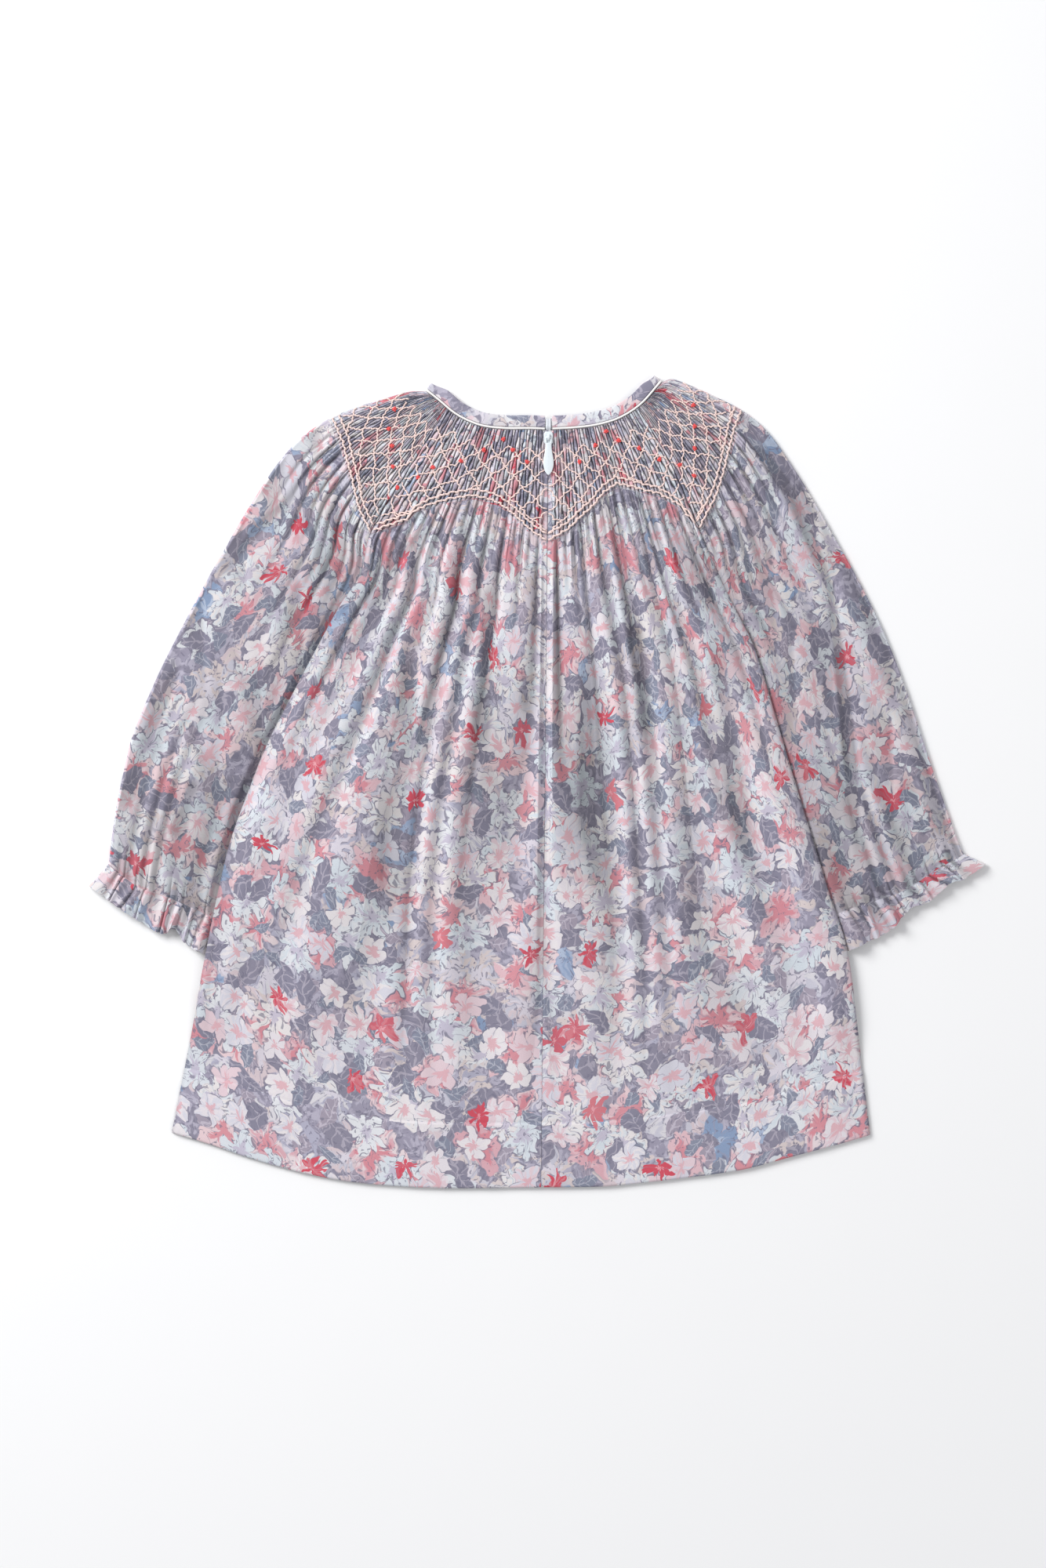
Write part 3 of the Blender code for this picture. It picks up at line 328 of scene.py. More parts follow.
RIGHT_SLEEVE_GATHERS = gathers(
    (0.05, 0.006, 92.0, 1.5, 1.3), (0.14, 0.0, 66.0, 1.3, 1.1), (0.22, 0.02, 118.0, 1.6, 1.3),
    (0.32, -0.012, 72.0, 1.4, 1.1), (0.41, 0.018, 104.0, 1.6, 1.2), (0.5, 0.0, 60.0, 1.2, 1.0),
    (0.6, 0.014, 98.0, 1.5, 1.1), (0.7, -0.008, 62.0, 1.3, 0.9), (0.8, 0.01, 86.0, 1.4, 0.8),
    (0.9, 0.0, 54.0, 1.2, 0.6),
)

# Where the photo shows the small red flowers worked into the smocking, in the plan.
FLOWERETS = (
    (-80.1, 208.6), (-83.2, 197.6), (-81.4, 187.9), (-81.0, 176.4), (-78.3, 164.6), (-66.9, 170.3),
    (-58.5, 176.0), (-42.7, 179.5), (-29.9, 185.7), (-18.9, 191.8), (-13.6, 185.7), (-5.7, 179.1),
    (23.8, 179.1), (32.6, 188.3), (38.7, 196.2), (45.8, 191.0), (57.2, 186.6), (68.6, 180.4),
    (80.1, 177.3), (88.0, 171.2), (88.4, 186.6), (88.4, 198.9), (87.6, 210.8),
)


class Line:
    """A smooth line through plan points, read by its share of the length."""

    def __init__(self, points: list[Point] | tuple[Point, ...], steps: int = 8) -> None:
        """Round the line off with a Catmull-Rom curve and measure it.

        Args:
            points: the measured points.
            steps: how many pieces each stretch is cut into.
        """
        given = np.array(points, float)
        start, end = given[:-1], given[1:]
        before = np.vstack([given[:1], given[:-2]])
        after = np.vstack([given[2:], given[-1:]])
        t = (np.arange(steps) / steps)[None, :, None]
        slope_start = 0.5 * (end - before)[:, None]
        slope_end = 0.5 * (after - start)[:, None]
        square, cube = t * t, t * t * t
        curve = (2 * cube - 3 * square + 1) * start[:, None]
        curve = curve + (cube - 2 * square + t) * slope_start
        curve = curve + (3 * square - 2 * cube) * end[:, None]
        curve = curve + (cube - square) * slope_end
        self.points = np.vstack([curve.reshape(-1, 2), given[-1:]])
        gaps = np.linalg.norm(np.diff(self.points, axis=0), axis=1)
        self.lengths = np.concatenate([[0.0], np.cumsum(gaps)])
        self.length = float(self.lengths[-1])

    def at(self, share: float | Array) -> Array:
        """Return the points at these shares of the length."""
        target = np.clip(share, 0.0, 1.0) * self.length
        x = np.interp(target, self.lengths, self.points[:, 0])
        y = np.interp(target, self.lengths, self.points[:, 1])
        return np.stack([x, y], axis=-1)

    def normal(self, share: float | Array) -> Array:
        """Return the unit normals to the left of the line's direction."""
        step = 0.004
        along = self.at(np.asarray(share) + step) - self.at(np.asarray(share) - step)
        size = np.linalg.norm(along, axis=-1, keepdims=True)
        return np.stack([-along[..., 1], along[..., 0]], axis=-1) / size

    def beside(self, share: float | Array, distance: float | Array) -> Array:
        """Return the points this far to the left of the line."""
        return self.at(share) + self.normal(share) * np.asarray(distance)[..., None]


class Patch:
    """A plan patch between four lines that share their corners."""

    def __init__(self, top: Line, bottom: Line, near: Line, far: Line) -> None:
        """Keep the four lines; near and far run from the top to the bottom."""
        self.top, self.bottom, self.near, self.far = top, bottom, near, far

    def at(self, across: Array, down: Array) -> tuple[Array, Array]:
        """Return the plan positions at these shares across and down.

        Args:
            across: shares from the near line to the far line.
            down: shares from the top line to the bottom line.

        Returns:
            The X and Y positions in millimetres.
        """
        across, down = np.broadcast_arrays(np.asarray(across, float), np.asarray(down, float))
        u = across[..., None]
        v = down[..., None]
        ruled = (1 - v) * self.top.at(across) + v * self.bottom.at(across)
        ruled = ruled + (1 - u) * self.near.at(down) + u * self.far.at(down)
        twice = (1 - v) * ((1 - u) * self.top.at(0.0) + u * self.top.at(1.0))
        twice = twice + v * ((1 - u) * self.bottom.at(0.0) + u * self.bottom.at(1.0))
        found = ruled - twice
        return found[..., 0], found[..., 1]

    def width(self, down: float | Array) -> Array:
        """Return the straight distance across the patch at this share down."""
        return np.linalg.norm(self.near.at(down) - self.far.at(down), axis=-1)


def relief(x: Array, y: Array, folds: tuple[Fold, ...]) -> Array:
    """Return the height that the listed folds add at plan positions.

    Args:
        x, y: plan positions in millimetres.
        folds: the folds to add up.

    Returns:
        The added height in millimetres.
    """
    total = np.zeros_like(x)
    for number, fold in enumerate(folds):
        nearest, along = np.full_like(x, 1e9), np.zeros_like(x)
        pieces = len(fold.points) - 1
        for i in range(pieces):
            ax, ay = fold.points[i]
            bx, by = fold.points[i + 1]
            dx, dy = bx - ax, by - ay
            held = np.clip(((x - ax) * dx + (y - ay) * dy) / (dx * dx + dy * dy), 0.0, 1.0)
            gap = np.hypot(x - ax - dx * held, y - ay - dy * held)
            closer = gap < nearest
            nearest = np.where(closer, gap, nearest)
            along = np.where(closer, (i + held) / pieces, along)
        ends = smooth(0.0, 0.18, along) * smooth(1.0, 0.75, along)
        uneven = 1.0 + 0.3 * np.sin(along * 9.0 + number * 1.9)
        width = fold.width * (0.8 + 0.4 * along)
        total += fold.height * np.exp(-((nearest / width) ** 2)) * (0.15 + 0.85 * ends) * uneven
    return total


@dataclass
class HalfLines:
    """The seam lines and patches of one half of the dress, derived from its measured lines."""

    side: SideLines
    tuck_width: float = 9.0

    def __post_init__(self) -> None:
        """Derive the lines that the pieces share."""
        self.sign = self.side.half.value
        self.neck = Line(self.side.neck)
        raglan = self.neck.beside(self.side.raglan_share, -self.sign * PIPING_TO_PANEL)
        self.body = Line([tuple(raglan), *self.side.body_edge])
        self.back = self._back_patch()
        self._sleeve_patches()

    def tuck(self, length: Array) -> Array:
        """Return how far the sleeve reaches under the body at this length down the side."""
        return self.tuck_width * smooth(86.0, 124.0, length)

    def _under_neck(self, start: float, end: float, count: int = 24) -> list[Point]:
        """Return points of a line under the piping between two shares of the neck line."""
        shares = np.linspace(start, end, count + 1)
        return rows_of(self.neck.beside(shares, -self.sign * PIPING_TO_PANEL))

    def _back_patch(self) -> Patch:
        """Return the patch of the back half, from the zip to its outer edge."""
        middle = self.sign * CLOSED_SEAM / 2
        edge = rows_of(self.body.beside(np.linspace(0, 1, 121), -self.sign * CLOSED_SEAM / 2))
        top = self._under_neck(0.0, self.side.raglan_share)
        top[0] = (CENTRE_BACK_TOP[0] + middle, top[0][1])
        top[-1] = edge[0]
        hem = list(self.side.hem)
        hem[0] = (CENTRE_BACK_HEM[0] + middle, hem[0][1])
        hem[-1] = edge[-1]
        return Patch(Line(top, 2), Line(hem), Line((top[0], hem[0]), 2), Line(edge, 1))

    def _inner_line(self, start: float, end: float, count: int = 100) -> list[Point]:
        """Return points of the sleeve's inner line, which runs under the body lower down."""
        lengths = np.linspace(start, end, count + 1)
        inside = self.tuck(lengths) - CLOSED_SEAM / 2
        return rows_of(self.body.beside(lengths / self.body.length, -self.sign * inside))

    def length_at(self, y: float) -> float:
        """Return the length down the side at which it reaches this Y."""
        shares = np.linspace(0, 1, 2001)
        heights = self.body.at(shares)[:, 1]
        return float(np.interp(-y, -heights, shares)) * self.body.length

    def _sleeve_patches(self) -> None:
        """Derive the patches of the sleeve above the elastic and of its frill."""
        self.cuff_length = self.length_at(self.side.cuff[0][1] - 3.0)
        self.frill_length = self.length_at(self.side.frill[0][1] - 3.0)
        inner = self._inner_line(0.0, self.cuff_length)
        tucked = self._inner_line(self.cuff_length, self.frill_length, 8)
        neck = self._under_neck(self.side.raglan_share, 1.0)
        neck[0] = inner[0]
        fold = (neck[-1], *self.side.fold_edge)
        cuff = (inner[-1], *self.side.cuff)
        frill = (tucked[-1], *self.side.frill)
        elastic = Line(cuff)
        self.sleeve = Patch(Line(neck, 2), elastic, Line(inner, 1), Line(fold))
        tip = Line((cuff[-1], frill[-1]), 2)
        self.frill = Patch(elastic, Line(frill), Line(tucked, 1), tip)


@dataclass
class Surface:
    """Heights and marks of a cloth surface over a grid.

    Attributes:
        x, y: plan positions in millimetres.
        z: heights in millimetres.
        painted_shade: painted shade, 0 on open cloth and 1 in the valley of a pleat.
        cloth: positions across the cut cloth in millimetres.
        slip: how far the print is moved down a pleat, in millimetres.
    """

    x: Array
    y: Array
    z: Array
    painted_shade: Array
    cloth: Array
    slip: Array

    @property
    def corners(self) -> Array:
        """Return the corners as rows of X, Y and Z."""
        return np.stack([self.x, self.y, self.z], axis=-1).reshape(-1, 3)

    def cut(self, sign: int, lengths: Array) -> Array:
        """Return each corner's place in the cut cloth, at these lengths down it."""
        return np.stack([-sign * self.cloth, self.slip - lengths], axis=-1).reshape(-1, 2)

    def joined(self, other: Surface, axis: int) -> Surface:
        """Return this surface with another one under it (axis 0) or beside it (axis 1)."""
        pairs = zip(vars(self).values(), vars(other).values())
        return Surface(*(np.concatenate(pair, axis=axis) for pair in pairs))


def pleat_profile(phase: Array, roundness: float = 0.62) -> Array:
    """Return the height of round pleats that lie side by side, 0 in a valley and 1 on a crest."""
    return np.abs(np.sin(np.pi * phase)) ** roundness


def diamonds(across: Array, down: Array, width: float, height: float) -> Array:
    """Return 0 on the stitched lines of the smocking and 1 in the middle of a diamond.

    Args:
        across: the position across, in pleats.
        down: the distance below the first row, in millimetres.
        width: a diamond's width in pleats.
        height: a diamond's height in millimetres.

    Returns:
        How far the cloth stands free of the stitches.
    """
    first = np.abs((across / width + down / height + 0.5) % 1.0 - 0.5)
    second = np.abs((across / width - down / height + 0.5) % 1.0 - 0.5)
    return smooth(0.0, 0.42, 2.0 * np.minimum(first, second))


def mesh_object(name: str, corners: Array, faces: Array, uv: Array | None = None) -> Object:
    """Make a smooth-shaded mesh object from arrays.

    Args:
        name: the object's name.
        corners: corner positions in millimetres.
        faces: corner numbers, three or four in a row.
        uv: the cloth's own coordinates of each corner in millimetres, or None.

    Returns:
        The new object.
    """
    mesh = bpy.data.meshes.new(name)
    count = faces.shape[1]
    mesh.vertices.add(len(corners))
    mesh.vertices.foreach_set("co", (np.asarray(corners, float) * MILLIMETRE).ravel())
    mesh.loops.add(faces.size)
    mesh.loops.foreach_set("vertex_index", faces.ravel().astype(np.int32))
    mesh.polygons.add(len(faces))
    mesh.polygons.foreach_set("loop_start", np.arange(0, faces.size, count, dtype=np.int32))
    mesh.polygons.foreach_set("loop_total", np.full(len(faces), count, dtype=np.int32))
    mesh.polygons.foreach_set("use_smooth", np.ones(len(faces), dtype=bool))
    if uv is not None:
        layer = mesh.uv_layers.new(name="cloth")
        layer.data.foreach_set("uv", (uv[faces.ravel()] * MILLIMETRE).astype(np.float32).ravel())
    mesh.update(calc_edges=True)
    mesh.validate()
    made = bpy.data.objects.new(name, mesh)
    bpy.context.scene.collection.objects.link(made)
    return made


def grid_faces(rows: int, columns: int, turned: bool) -> Array:
    """Return the four-sided faces of a grid of corners.

    Args:
        rows: how many rows of corners there are.
        columns: how many corners a row has.
        turned: whether the faces look the other way.

    Returns:
        One row of four corner numbers for each face.
    """
    first = (np.arange(rows - 1)[:, None] * columns + np.arange(columns - 1)[None, :]).ravel()
    faces = np.stack([first, first + 1, first + columns + 1, first + columns], axis=1)
    return faces[:, ::-1] if turned else faces


def ring_angles(count: int) -> Array:
    """Return this many angles spaced evenly round a ring."""
    return np.linspace(0.0, 2.0 * math.pi, count, endpoint=False)


def squared(wave: Array, power: float) -> Array:
    """Return a sine or cosine with fuller shoulders, for a ring between round and square."""
    return np.sign(wave) * np.abs(wave) ** power


class Lofts:
    """Tubes through rings of corners, collected into one mesh."""

    # The rings of a stitch: share along it, thickness, and how far it is tucked in.
    STITCH = ((0.0, 0.25, 0.9), (0.14, 0.8, 0.3), (0.5, 1.0, 0.0), (0.86, 0.8, 0.3), (1.0, 0.25, 0.9))
    STITCH_SIDES = 6
    SHORTEST_STITCH = 0.2

    def __init__(self) -> None:
        """Start with no tubes."""
        self.corners: list[Array] = []
        self.faces: list[Array] = []
        self.count = 0

    def add(self, rings: list[Array], turned: bool = False) -> None:
        """Add one tube through rings of equal counts; turned makes its faces look the other way."""
        sides = len(rings[0])
        ring = np.arange(len(rings) - 1)[:, None] * sides
        side = np.arange(sides)[None, :]
        a = (ring + side).ravel() + self.count
        b = (ring + (side + 1) % sides).ravel() + self.count
        faces = np.stack([a, b, b + sides, a + sides], axis=1)
        self.corners.append(np.vstack(rings))
        self.faces.append(faces[:, ::-1] if turned else faces)
        self.count += len(rings) * sides

    def stitch(self, start: Array, end: Array, radius: float) -> None:
        """Add one stitch, thick in its middle and tucked in at its ends.

        Args:
            start: where it starts, in millimetres.
            end: where it ends.
            radius: the thread's radius in millimetres.
        """
        along = end - start
        length = float(np.linalg.norm(along))
        if length < self.SHORTEST_STITCH:
            return
        along = along / length
        beside = np.cross(along, [0.0, 0.0, 1.0])
        beside = beside / max(1e-6, float(np.linalg.norm(beside)))
        up = np.cross(beside, along)
        angles = ring_angles(self.STITCH_SIDES)
        circle = np.cos(angles)[:, None] * beside + np.sin(angles)[:, None] * up
        rings = []
        for share, size, sink in self.STITCH:
            centre = start + along * length * share - np.array([0.0, 0.0, radius * sink])
            rings.append(centre + radius * size * circle)
        self.add(rings)

    def mesh(self, name: str, uv: Array | None = None) -> Object:
        """Make one mesh object of all the tubes."""
        return mesh_object(name, np.vstack(self.corners), np.vstack(self.faces), uv)


class Graph:
    """A node tree that is filled by short calls."""

    def __init__(self, tree: Tree) -> None:
        """Keep the tree."""
        self.tree = tree

    def node(self, kind: str, inputs: dict[str | int, object] | None = None, **settings: object) -> Node:
        """Add a node.

        Args:
            kind: the node's type name, without the ShaderNode that it starts with.
            inputs: a value or a socket to link for each named or numbered input.
            settings: the node's own settings.

        Returns:
            The new node.
        """
        made = self.tree.nodes.new("ShaderNode" + kind)
        for name, value in settings.items():
            setattr(made, name, value)
        self.fill(made, inputs or {})
        return made

    def fill(self, node: Node, inputs: dict[str | int, object]) -> None:
        """Link a socket into each of a node's named or numbered inputs, or set its plain value."""
        for key, value in inputs.items():
            if isinstance(value, bpy.types.NodeSocket):
                self.tree.links.new(value, node.inputs[key])
            else:
                node.inputs[key].default_value = value

    def math(self, operation: str, *values: object) -> Socket:
        """Add a Math node and return its result."""
        return self.node("Math", dict(enumerate(values)), operation=operation).outputs[0]

    def times(self, first: object, second: object) -> Socket:
        """Multiply two numbers."""
        return self.math("MULTIPLY", first, second)

    def minus(self, first: object, second: object) -> Socket:
        """Take the second number from the first."""
        return self.math("SUBTRACT", first, second)

    def linear(self, value: object, factor: object, added: object) -> Socket:
        """Multiply a number by a factor and add another."""
        return self.math("MULTIPLY_ADD", value, factor, added)

    def vector(self, operation: str, *values: object) -> Socket:
        """Add a Vector Math node and return its vector."""
        return self.node("VectorMath", dict(enumerate(values)), operation=operation).outputs[0]

    def scale(self, vector: object, factor: object) -> Socket:
        """Scale a vector by a number."""
        return self.node("VectorMath", {0: vector, "Scale": factor}, operation="SCALE").outputs[0]

    def join(self, *numbers: object) -> Socket:
        """Join two or three numbers into a vector."""
        return self.node("CombineXYZ", dict(enumerate(numbers))).outputs[0]

    def split(self, vector: object) -> tuple[Socket, Socket]:
        """Return a vector's X and Y."""
        parts = self.node("SeparateXYZ", {0: vector})
        return parts.outputs[0], parts.outputs[1]

    def turn(self, vector: object, turns: object) -> Socket:
        """Turn a vector in the plan by a share of a full turn."""
        angle = self.times(turns, FULL_TURN)
        return self.node("VectorRotate", {"Vector": vector, "Angle": angle}, rotation_type="Z_AXIS").outputs[0]

    def step(self, value: object, low: object, high: object) -> Socket:
        """Return a smooth change from 0 at low to 1 at high."""
        limits = {"Value": value, "From Min": low, "From Max": high}
        return self.node("MapRange", limits, interpolation_type="SMOOTHSTEP").outputs["Result"]

    def mix(self, factor: object, low: object, high: object) -> Socket:
        """Mix two colours and return the result."""
        return self.node("Mix", {0: factor, 6: low, 7: high}, data_type="RGBA").outputs[2]

    def noise(self, vector: object, scale: float, detail: float = 2.0, output: int = 0) -> Socket:
        """Add a flat noise and return its value, or its colour with output 1."""
        inputs = {"Vector": vector, "Scale": scale, "Detail": detail}
        return self.node("TexNoise", inputs, noise_dimensions="2D").outputs[output]

    def tint(self, value: object, colour: object) -> Socket:
        """Make a colour lighter or darker by a value."""
        return self.node("HueSaturation", {"Value": value, "Color": colour}).outputs[0]

    def bump(self, strength: float, distance: float, height: object) -> Socket:
        """Turn a height into a normal."""
        return self.node("Bump", {"Strength": strength, "Distance": distance, "Height": height}).outputs[0]

    def group(self, tree: Tree, **inputs: object) -> bpy.types.bpy_prop_collection:
        """Place a node group with these inputs and return its outputs."""
        return self.node("Group", inputs, node_tree=tree).outputs


def new_group(name: str, plain: dict[str, float], outputs: dict[str, str]) -> tuple[Graph, Node, Node]:
    """Start a shader node group that reads a Vector and some values.

    Args:
        name: the group's name.
        plain: for each value that it reads, what it is where nothing is linked.
        outputs: for each output its kind, value or colour.

    Returns:
        The group's graph, its input node and its output node.
    """
    tree = bpy.data.node_groups.new(name, "ShaderNodeTree")
    tree.interface.new_socket(name="Vector", in_out="INPUT", socket_type="NodeSocketVector")
    for label, value in plain.items():
        socket = tree.interface.new_socket(name=label, in_out="INPUT", socket_type="NodeSocketFloat")
        socket.default_value = value
    kinds = {"value": "NodeSocketFloat", "colour": "NodeSocketColor"}
    for label, kind in outputs.items():
        tree.interface.new_socket(name=label, in_out="OUTPUT", socket_type=kinds[kind])
    return Graph(tree), tree.nodes.new("NodeGroupInput"), tree.nodes.new("NodeGroupOutput")


@dataclass(frozen=True)
class MotifLayer:
    """One layer of printed motifs.

    Attributes:
        motif: the kind of motif.
        cell: the spacing of the motifs in millimetres.
        reach: the motif's radius as a share of the spacing.
        seed: moves the layer.
        share: the share of places that hold a motif.
        heart: colour of the strokes that run out from the middle.
        reach_of_heart: how far those strokes run, as a share of the radius.
        tones: petal colours, chosen at random from place to place.
        pen: how dark the drawn outline is.
    """

    motif: Motif
    cell: float
    reach: float
    seed: float
    share: float
    heart: Rgb
    reach_of_heart: float
    tones: tuple[Rgb, ...]
    pen: float


@dataclass(frozen=True)
class LeafLayer:
    """One layer of printed leaves: spacing, seed, share of places, leaf colour and vein colour."""

    cell: float
    seed: float
    share: float
    leaf: Rgb
    vein: Rgb


@dataclass(frozen=True)
class FloralPrint:
    """A dense painted floral print of common flowers and leaves, in the cloth's own coordinates."""

    size: float = 1.6
    slate: Rgb = (142, 138, 155)
    mist: Rgb = (157, 152, 170)
    haze: Rgb = (190, 185, 201)
    ink: Rgb = (124, 121, 140)

    clouds: tuple[MotifLayer, ...] = (
        MotifLayer(Motif.CLOUD, 16.0, 0.66, 3.1, 1.0, (218, 212, 222), 0.5,
                   ((198, 196, 208), (212, 196, 201), (215, 212, 217), (178, 176, 194), (214, 201, 200)), 0.2),
        MotifLayer(Motif.CLOUD, 34.0, 0.26, 53.9, 0.55, (182, 194, 214), 0.5,
                   ((140, 158, 188), (156, 172, 200), (168, 180, 204)), 0.2),
    )
    flowers: tuple[MotifLayer, ...] = (
        MotifLayer(Motif.ROSE, 21.0, 0.42, 11.7, 0.84, (212, 136, 147), 0.7,
                   ((222, 187, 194), (227, 202, 206), (215, 170, 179), (225, 210, 213)), 0.4),
        MotifLayer(Motif.DAISY, 18.0, 0.46, 7.3, 0.88, (192, 184, 202), 0.5,
                   ((223, 224, 228), (216, 220, 226), (228, 222, 222), (211, 218, 225)), 0.8),
        MotifLayer(Motif.BLOSSOM, 13.5, 0.44, 19.9, 0.62, (220, 172, 180), 0.5,
                   ((226, 219, 224), (224, 202, 209), (214, 212, 222), (229, 223, 225)), 0.8),
        MotifLayer(Motif.SPARK, 27.0, 0.17, 29.3, 0.46, (232, 168, 176), 0.3,
                   ((208, 84, 100), (204, 104, 118), (212, 126, 136)), 0.1),
    )
    under_leaves: tuple[LeafLayer, ...] = (
        LeafLayer(15.0, 5.7, 0.42, (141, 137, 154), (188, 181, 194)),
        LeafLayer(11.0, 17.9, 0.45, (164, 155, 170), (210, 202, 214)),
    )
    upper_leaves: tuple[LeafLayer, ...] = (
        LeafLayer(13.0, 37.3, 0.26, (138, 135, 153), (192, 185, 198)),
        LeafLayer(9.0, 61.1, 0.20, (138, 142, 160), (198, 198, 209)),
    )

    @staticmethod
    def _cells(graph: Graph, given: Node, randomness: float) -> tuple[Socket, Socket, Socket, Socket]:
        """Place one motif in each cell of a layer.

        Args:
            graph: the group's graph.
            given: its input node, with Vector, Cell and Seed.
            randomness: how far the motifs stray from a grid.

        Returns:
            The vector from the motif's middle, turned at random, and three random picks.
        """
        shrink = graph.math("DIVIDE", 1.0, given.outputs["Cell"])
        shift = graph.join(given.outputs["Seed"], given.outputs["Seed"])
        placed = graph.vector("ADD", graph.scale(given.outputs["Vector"], shrink), shift)
        inputs = {"Vector": placed, "Scale": 1.0, "Randomness": randomness}
        cells = graph.node("TexVoronoi", inputs, voronoi_dimensions="2D")
        local = graph.vector("SUBTRACT", placed, cells.outputs["Position"])
        picks = graph.node("SeparateColor", {0: cells.outputs["Color"]}).outputs
        return graph.turn(local, picks[0]), picks[0], picks[1], picks[2]

    def motif_group(self) -> Tree:
        """Build the group that draws one flower in each cell of a layer.

        Returns:
            A group with the mask, the share from heart to rim, the petals, strokes, a pick and an outline.
        """
        plain = {"Cell": 12.0, "Reach": 0.4, "Petals": 5.0, "Notch": 0.3, "Uneven": 0.2, "Squash": 0.3, "Seed": 0.0}
        outputs = dict.fromkeys(("Mask", "Shade", "Petal", "Streak", "Pick", "Rim"), "value")
        graph, given, result = new_group("printed_motif", plain, outputs)
        turned, turn, pick, size = self._cells(graph, given, 0.88)
        seen = graph.vector("MULTIPLY", turned, graph.join(1.0, graph.linear(given.outputs["Squash"], size, 1.0), 1.0))
        distance = graph.node("VectorMath", {0: seen}, operation="LENGTH").outputs["Value"]
        heading = graph.vector("NORMALIZE", seen)
        x, y = graph.split(heading)
        angle = graph.math("ARCTAN2", y, x)
        half_turns = graph.times(angle, graph.times(given.outputs["Petals"], 0.5))
        lobes = graph.math("POWER", graph.math("ABSOLUTE", graph.math("COSINE", half_turns)), 0.6)
        place = graph.join(graph.times(turn, 37.0), graph.times(pick, 53.0))
        length = graph.noise(graph.vector("ADD", graph.scale(heading, 1.5), place), 1.0, 1.0)
        swing = graph.times(graph.minus(length, 0.5), given.outputs["Uneven"])
        reach = graph.times(given.outputs["Reach"], graph.linear(size, 0.34, 0.80))
        notch = graph.times(graph.minus(1.0, lobes), given.outputs["Notch"])
        shape = graph.linear(swing, 2.0, graph.minus(1.0, notch))
        ratio = graph.math("DIVIDE", distance, graph.times(reach, graph.math("MAXIMUM", shape, 0.2)))
        across = graph.linear(angle, 2.4, graph.times(turn, 41.0))
        graph.fill(result, {
            "Mask": graph.step(ratio, 1.03, 0.97),
            "Shade": graph.math("MINIMUM", ratio, 1.0),
            "Petal": lobes,
            "Streak": graph.noise(graph.join(across, graph.times(ratio, 1.2)), 1.0),
            "Pick": pick,
            "Rim": graph.times(graph.step(ratio, 1.15, 1.08), graph.step(ratio, 0.94, 1.0)),
        })
        return graph.tree

    def leaf_group(self) -> Tree:
        """Build the group that draws one pointed leaf with veins in each cell.

        Returns:
            A group with the mask, the veins and a random pick.
        """
        outputs = dict.fromkeys(("Mask", "Vein", "Pick"), "value")
        graph, given, result = new_group("printed_leaf", {"Cell": 14.0, "Seed": 0.0}, outputs)
        turned, _, pick, size = self._cells(graph, given, 0.9)
        along, beside = graph.split(turned)
        away = graph.math("ABSOLUTE", graph.linear(graph.times(along, along), 0.5, beside))
        reach = graph.math("DIVIDE", along, graph.linear(size, 0.16, 0.44))
        belly = graph.minus(1.0, graph.times(reach, reach))
        width = graph.times(graph.math("MAXIMUM", belly, 0.001), 0.25)
        slant = graph.linear(away, -20.0, graph.times(along, 26.0))
        ribs = graph.step(graph.math("SINE", slant), 0.84, 0.97)
        graph.fill(result, {
            "Mask": graph.step(graph.math("DIVIDE", away, width), 1.06, 0.94),
            "Vein": graph.math("MAXIMUM", graph.step(away, 0.030, 0.014), ribs),
            "Pick": pick,
        })
        return graph.tree

    def group(self) -> Tree:
        """Build the group that lays all the layers of the print over each other.

        Returns:
            A group from cloth coordinates in millimetres to the printed colour.
        """
        graph, given, result = new_group("floral_print", {}, {"Color": "colour"})
        point = graph.scale(given.outputs["Vector"], 1.0 / self.size)
        brushed = self._wander(graph, self._wander(graph, point, 0.13, 5.0), 0.6, 1.1)
        patches = graph.step(graph.noise(brushed, 0.16), 0.40, 0.54)
        colour = graph.mix(patches, linear(*self.slate), linear(*self.mist))
        dapple = graph.step(graph.noise(brushed, 0.4, 3.0), 0.46, 0.58)
        colour = graph.mix(graph.times(dapple, 0.75), colour, linear(*self.haze))
        motif = self.motif_group()
        leaf = self.leaf_group()
        for layer in (*self.clouds, *self.under_leaves, *self.flowers[:2], *self.upper_leaves):
            if isinstance(layer, LeafLayer):
                colour = self._leaf(graph, leaf, brushed, colour, layer)
            else:
                colour = self._bloom(graph, motif, brushed, colour, layer)
        colour = self._pen(graph, brushed, colour)
        for layer in self.flowers[2:]:
            colour = self._bloom(graph, motif, brushed, colour, layer)
        wash = graph.linear(graph.noise(point, 0.05), 0.16, 0.87)
        graph.fill(result, {"Color": graph.tint(wash, colour)})
        return graph.tree

    @staticmethod
    def _wander(graph: Graph, point: Socket, scale: float, reach: float) -> Socket:
        """Bend the coordinates by a noise, so that nothing printed is quite regular."""
        centred = graph.vector("SUBTRACT", graph.noise(point, scale, 1.0, output=1), (0.5, 0.5, 0.5))
        return graph.vector("ADD", point, graph.scale(centred, reach))

    @staticmethod
    def _leaf(graph: Graph, group: Tree, point: Socket, below: Socket, layer: LeafLayer) -> Socket:
        """Lay one layer of leaves over a colour and return the result."""
        drawn = graph.group(group, Vector=point, Cell=layer.cell, Seed=layer.seed)
        inked = graph.mix(graph.times(drawn["Vein"], 0.6), linear(*layer.leaf), linear(*layer.vein))
        shown = graph.math("LESS_THAN", drawn["Pick"], layer.share)
        return graph.mix(graph.times(drawn["Mask"], shown), below, inked)

